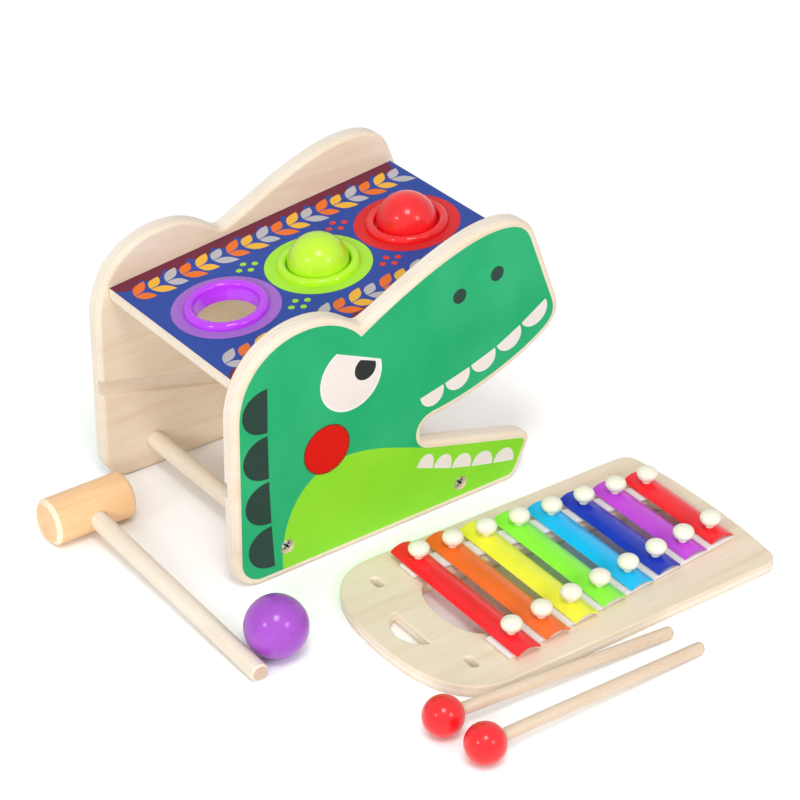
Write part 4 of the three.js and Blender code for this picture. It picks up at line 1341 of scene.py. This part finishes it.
lumps = bpy.data.textures.new("felt_lumps", "CLOUDS")
lumps.noise_scale = LUMP_SIZE
last = BAR_COUNT - 1
slope = (pin_y(last) - pin_y(0)) / (bar_x(last) - bar_x(0))
right_end = bar_x(last) + BAR_WIDTH / 2 + FELT_END
for row, (side, spread, overhang) in FELT_ROWS.items():
    left = bar_x(0) - BAR_WIDTH / 2 - overhang
    start = ROW_Y + side * (pin_y(0) + slope * (left - bar_x(0)))
    end = ROW_Y + side * (pin_y(last) + slope * (right_end - bar_x(last)))
    outer = side * spread
    inner = -side * FELT_INNER
    outline = Outline(left, start + inner).line(right_end, end + inner)
    outline.line(right_end, end + outer).line(left, start + outer)
    pin_holes = [disc(bar_x(i), ROW_Y + side * pin_y(i), PIN_HOLE) for i in range(BAR_COUNT)]
    bottom = FELT_BOTTOM + FELT_LUMP / 2
    top = FELT_BOTTOM + FELT_THICKNESS - FELT_LUMP / 2
    strip = flat_piece(f"felt_{row}", [outline, *pin_holes], bottom, top, rounding=FELT_EDGE)
    apply_modifier(strip, "REMESH", mode="VOXEL", voxel_size=FELT_NET)
    cloud = {"texture": lumps, "texture_coords": "LOCAL"}
    apply_modifier(strip, "DISPLACE", **cloud, strength=FELT_LUMP, mid_level=0.5)
    clean_up(strip, smooth_below=FELT_SMOOTH)
    settle(strip, XYLOPHONE, "xylophone", felt.material, f"felt_strip_{row}")

# %% [markdown]
# A bar is a strip of sheet metal bent into a low arch, with a hole near each end. An edge along the
# bar's length is spun through the arch's angle, Solidify gives the sheet its thickness, a plate with
# round corners trims its ends, and a small bevel breaks the edges. The bars differ in length, so each is
# made by the same function.

# %% Bars
BAR_RISE = 4.0
BAR_SHEET = 1.2
BAR_BASE_Z = XYLO_THICKNESS + FELT_THICKNESS + 2 * SEAT_GAP
BAR_ARC_STEPS = 20
BAR_CORNER = 2.2
BAR_BEVEL = 0.3
TRIM_SIDE = 0.3
TRIM_END = 0.05
arch_radius = (BAR_WIDTH ** 2 / 4 + BAR_RISE ** 2) / (2 * BAR_RISE)
arch_spread = asin(BAR_WIDTH / 2 / arch_radius)
arch_centre = -(arch_radius - BAR_SHEET) * cos(arch_spread)
arch_crest = arch_centre + arch_radius


def trimming_plate(length):
    """A plate a little wider and shorter than a bar, with round corners that its ends are cut to."""
    across = BAR_WIDTH / 2 + TRIM_SIDE
    along = length / 2 - TRIM_END
    x = across - BAR_CORNER
    y = along - BAR_CORNER
    outline = Outline(across, -y).line(across, y)
    for i, (cx, cy) in enumerate(((x, y), (-x, y), (-x, -y), (x, -y))):
        outline.line(cx + BAR_CORNER * cos(i * pi / 2), cy + BAR_CORNER * sin(i * pi / 2))
        outline.arc(cx, cy, BAR_CORNER, BAR_CORNER, i * pi / 2, (i + 1) * pi / 2)
    return flat_piece("trimming_plate", [outline], -OVERCUT, arch_crest + OVERCUT)


def bar(name, length, hole_y):
    middle_radius = arch_radius - BAR_SHEET / 2
    x = middle_radius * sin(arch_spread)
    z = arch_centre + middle_radius * cos(arch_spread)
    edge = [(x, -length / 2, z), (x, length / 2, z)]
    arch = {"angle": 2 * arch_spread, "centre": (0, 0, arch_centre), "axis": (0, 1, 0)}
    piece = spun(name, edge, BAR_ARC_STEPS, **arch)
    apply_modifier(piece, "SOLIDIFY", thickness=BAR_SHEET, offset=0.0, use_even_offset=True)
    cut(piece, trimming_plate(length), operation="INTERSECT")
    cut(piece, *(drill(0, y, PIN_HOLE, -OVERCUT, arch_crest + OVERCUT) for y in (hole_y, -hole_y)))
    sharp = {"limit_method": "ANGLE", "angle_limit": radians(50)}
    apply_modifier(piece, "BEVEL", width=BAR_BEVEL, segments=2, **sharp)
    clean_up(piece)
    return piece


BAR_COLOURS = {
    "red": srgb(255, 34, 46),
    "orange": srgb(255, 116, 40),
    "yellow": srgb(255, 254, 66),
    "green": srgb(150, 254, 66),
    "light_blue": srgb(22, 196, 255),
    "dark_blue": srgb(24, 54, 190),
    "purple": srgb(206, 74, 226),
}
scale_of_colours = [*BAR_COLOURS, "red"]
enamels = {name: enamel(f"enamel_{name}", colour) for name, colour in BAR_COLOURS.items()}
for i, name in enumerate(scale_of_colours):
    arched = bar(f"arched_bar_{i + 1}", bar_length(i), pin_y(i))
    place = XYLOPHONE @ shift(bar_x(i), ROW_Y, BAR_BASE_Z)
    settle(arched, place, "xylophone", enamels[name], f"bar_{i + 1}")
print("bars", BAR_COUNT, "crest", round(arch_crest, 2))

# %% [markdown]
# A pin with a flattened round head goes through each end of each bar and through the felt into the
# board. Sixteen pins are alike, so one is turned and copied.

# %% Pins
PIN_STEM = 3.3
PIN_HEAD = 7.9
PIN_HEAD_HEIGHT = 9.9
PIN_TIP = -6.2
PIN_LIFT = 2.2
pin_under = BAR_BASE_Z - XYLO_THICKNESS + arch_crest + PIN_LIFT
pin_middle = pin_under + PIN_HEAD_HEIGHT / 2
pin_profile = [
    (0, PIN_TIP),
    (PIN_STEM, PIN_TIP),
    *corner((PIN_HEAD, pin_middle), (PIN_STEM, pin_under))[::-1],
    *corner((PIN_HEAD, pin_middle), (0, pin_under + PIN_HEAD_HEIGHT))[1:],
]
first_pin = turned("pin", pin_profile)
cream_plastic = moulded_plastic("cream_plastic", srgb(255, 251, 230))
for i in range(BAR_COUNT):
    for row, side in (("far", 1), ("near", -1)):
        pin = copy_of(first_pin, f"mushroom_pin_{row}_{i + 1}")
        place = XYLOPHONE @ shift(bar_x(i), ROW_Y + side * pin_y(i), XYLO_THICKNESS)
        settle(pin, place, "xylophone", cream_plastic, f"pin_{row}_{i + 1}")
bpy.data.objects.remove(first_pin)
print("pins", 2 * BAR_COUNT)

# %% [markdown]
# The hammer lies on its head and the far end of its handle, so it is tilted by the difference of the two
# radii over its reach. The head is turned with a chamfer, painted paler than the rest, partly as paler end
# grain and partly as a painted highlight where it catches the light, and a blind hole takes the handle.

# %% Hammer
HAMMER_HEAD_RADIUS = 17.8
HAMMER_HEAD_LENGTH = 67.0
HAMMER_CHAMFER = 3.0
HAMMER_BEVEL = 0.5
CHAMFER_LEAN = (0.3, 0.9)
HAMMER_REACH = 224.0
HAMMER_HANDLE_RADIUS = 7.0
HAMMER_HANDLE_EASE = 1.5
HAMMER_SOCKET = 8.0
HAMMER_X = -182
HAMMER_Y = 133
hammer_lean = asin((HAMMER_HEAD_RADIUS - HAMMER_HANDLE_RADIUS) / HAMMER_REACH)
HAMMER = BENCH @ shift(HAMMER_X, HAMMER_Y, HAMMER_HEAD_RADIUS) @ turn(hammer_lean, "X")
HEAD_PLACE = HAMMER @ turn(pi / 2, "Y")

half_head = HAMMER_HEAD_LENGTH / 2
face_radius = HAMMER_HEAD_RADIUS - HAMMER_CHAMFER
half_profile = [
    (0, half_head),
    (face_radius, half_head),
    (HAMMER_HEAD_RADIUS, half_head - HAMMER_CHAMFER),
]
head_profile = half_profile + [(r, -h) for r, h in reversed(half_profile)]
hammer_head = turned("hammer_block", head_profile)
sharp = {"limit_method": "ANGLE", "angle_limit": radians(30)}
apply_modifier(hammer_head, "BEVEL", width=HAMMER_BEVEL, segments=2, **sharp)
clean_up(hammer_head)
socket = drill(0, 0, HAMMER_HANDLE_RADIUS + SEAT_GAP, -HAMMER_SOCKET, HAMMER_HEAD_RADIUS + OVERCUT)
socket.matrix_world = turn(pi / 2, "X") @ socket.matrix_world
cut(hammer_head, socket)
# The chamfer faces take the paler rim finish, which is partly a painted highlight.
for face in hammer_head.data.polygons:
    face.material_index = 1 if CHAMFER_LEAN[0] < abs(face.normal.z) < CHAMFER_LEAN[1] else 0
block_wood = turned_wood("beech", HAMMER, "beech")
rim_wood_and_highlight = turned_wood("beech_rim_highlight", HAMMER, "beech rim and painted highlight")
settle(hammer_head, HEAD_PLACE, "hammer", block_wood, "hammer_head", ends=rim_wood_and_highlight)

handle_start = SEAT_GAP - HAMMER_SOCKET
handle_length = HAMMER_REACH - handle_start
hammer_handle = stick("hammer_stick", HAMMER_HANDLE_RADIUS, handle_length, HAMMER_HANDLE_EASE)
HANDLE_PLACE = HAMMER @ turn(pi / 2, "X") @ shift(0, 0, handle_start)
handle_wood = turned_wood("hammer_wood", HANDLE_PLACE @ ALONG_X, "stick wood")
settle(hammer_handle, HANDLE_PLACE, "hammer", handle_wood, "hammer_handle", ends=STICK_END)
print("hammer lean", hammer_lean)

# %% [markdown]
# Two mallets lie side by side in front of the xylophone, each resting on its painted head and the end
# of its stick. They are the hammer's idea again, smaller: one head and one stick, made and copied.

# %% Mallets
MALLET_RADIUS = 14.6
MALLET_REACH = 193.0
MALLET_STICK_RADIUS = 4.5
MALLET_STICK_EASE = 3.0
MALLET_SOCKET = 5.0
PAINT_ALLOWANCE = 0.15
MALLET_PLACES = ((-116, -206.2, -3.4), (-111.2, -244.1, 0.3))
mallet_lean = asin((MALLET_RADIUS - MALLET_STICK_RADIUS) / MALLET_REACH)

first_head = ball("mallet_ball", MALLET_RADIUS - PAINT_ALLOWANCE)
cut(first_head, drill(0, 0, MALLET_STICK_RADIUS + SEAT_GAP, -MALLET_SOCKET, MALLET_RADIUS + OVERCUT))
stick_start = SEAT_GAP - MALLET_SOCKET
stick_length = MALLET_REACH - stick_start
first_stick = stick("mallet_rod", MALLET_STICK_RADIUS, stick_length, MALLET_STICK_EASE)
for i, (x, y, swing) in enumerate(MALLET_PLACES, start=1):
    flat_place = BENCH @ shift(x, y, MALLET_RADIUS) @ turn(radians(swing), "Z")
    place = flat_place @ turn(mallet_lean + pi / 2, "Y")
    knob = copy_of(first_head, f"mallet_knob_{i}")
    settle(knob, place, f"mallet_{i}", PAINT["red"], f"mallet_head_{i}")
    rod = copy_of(first_stick, f"mallet_rod_{i}")
    rod_place = place @ shift(0, 0, stick_start)
    wood = turned_wood(f"mallet_wood_{i}", rod_place @ ALONG_X, "rosy wood")
    settle(rod, rod_place, f"mallet_{i}", wood, f"mallet_stick_{i}", ends=STICK_END)
bpy.data.objects.remove(first_head)
bpy.data.objects.remove(first_stick)
print("mallet lean", mallet_lean)
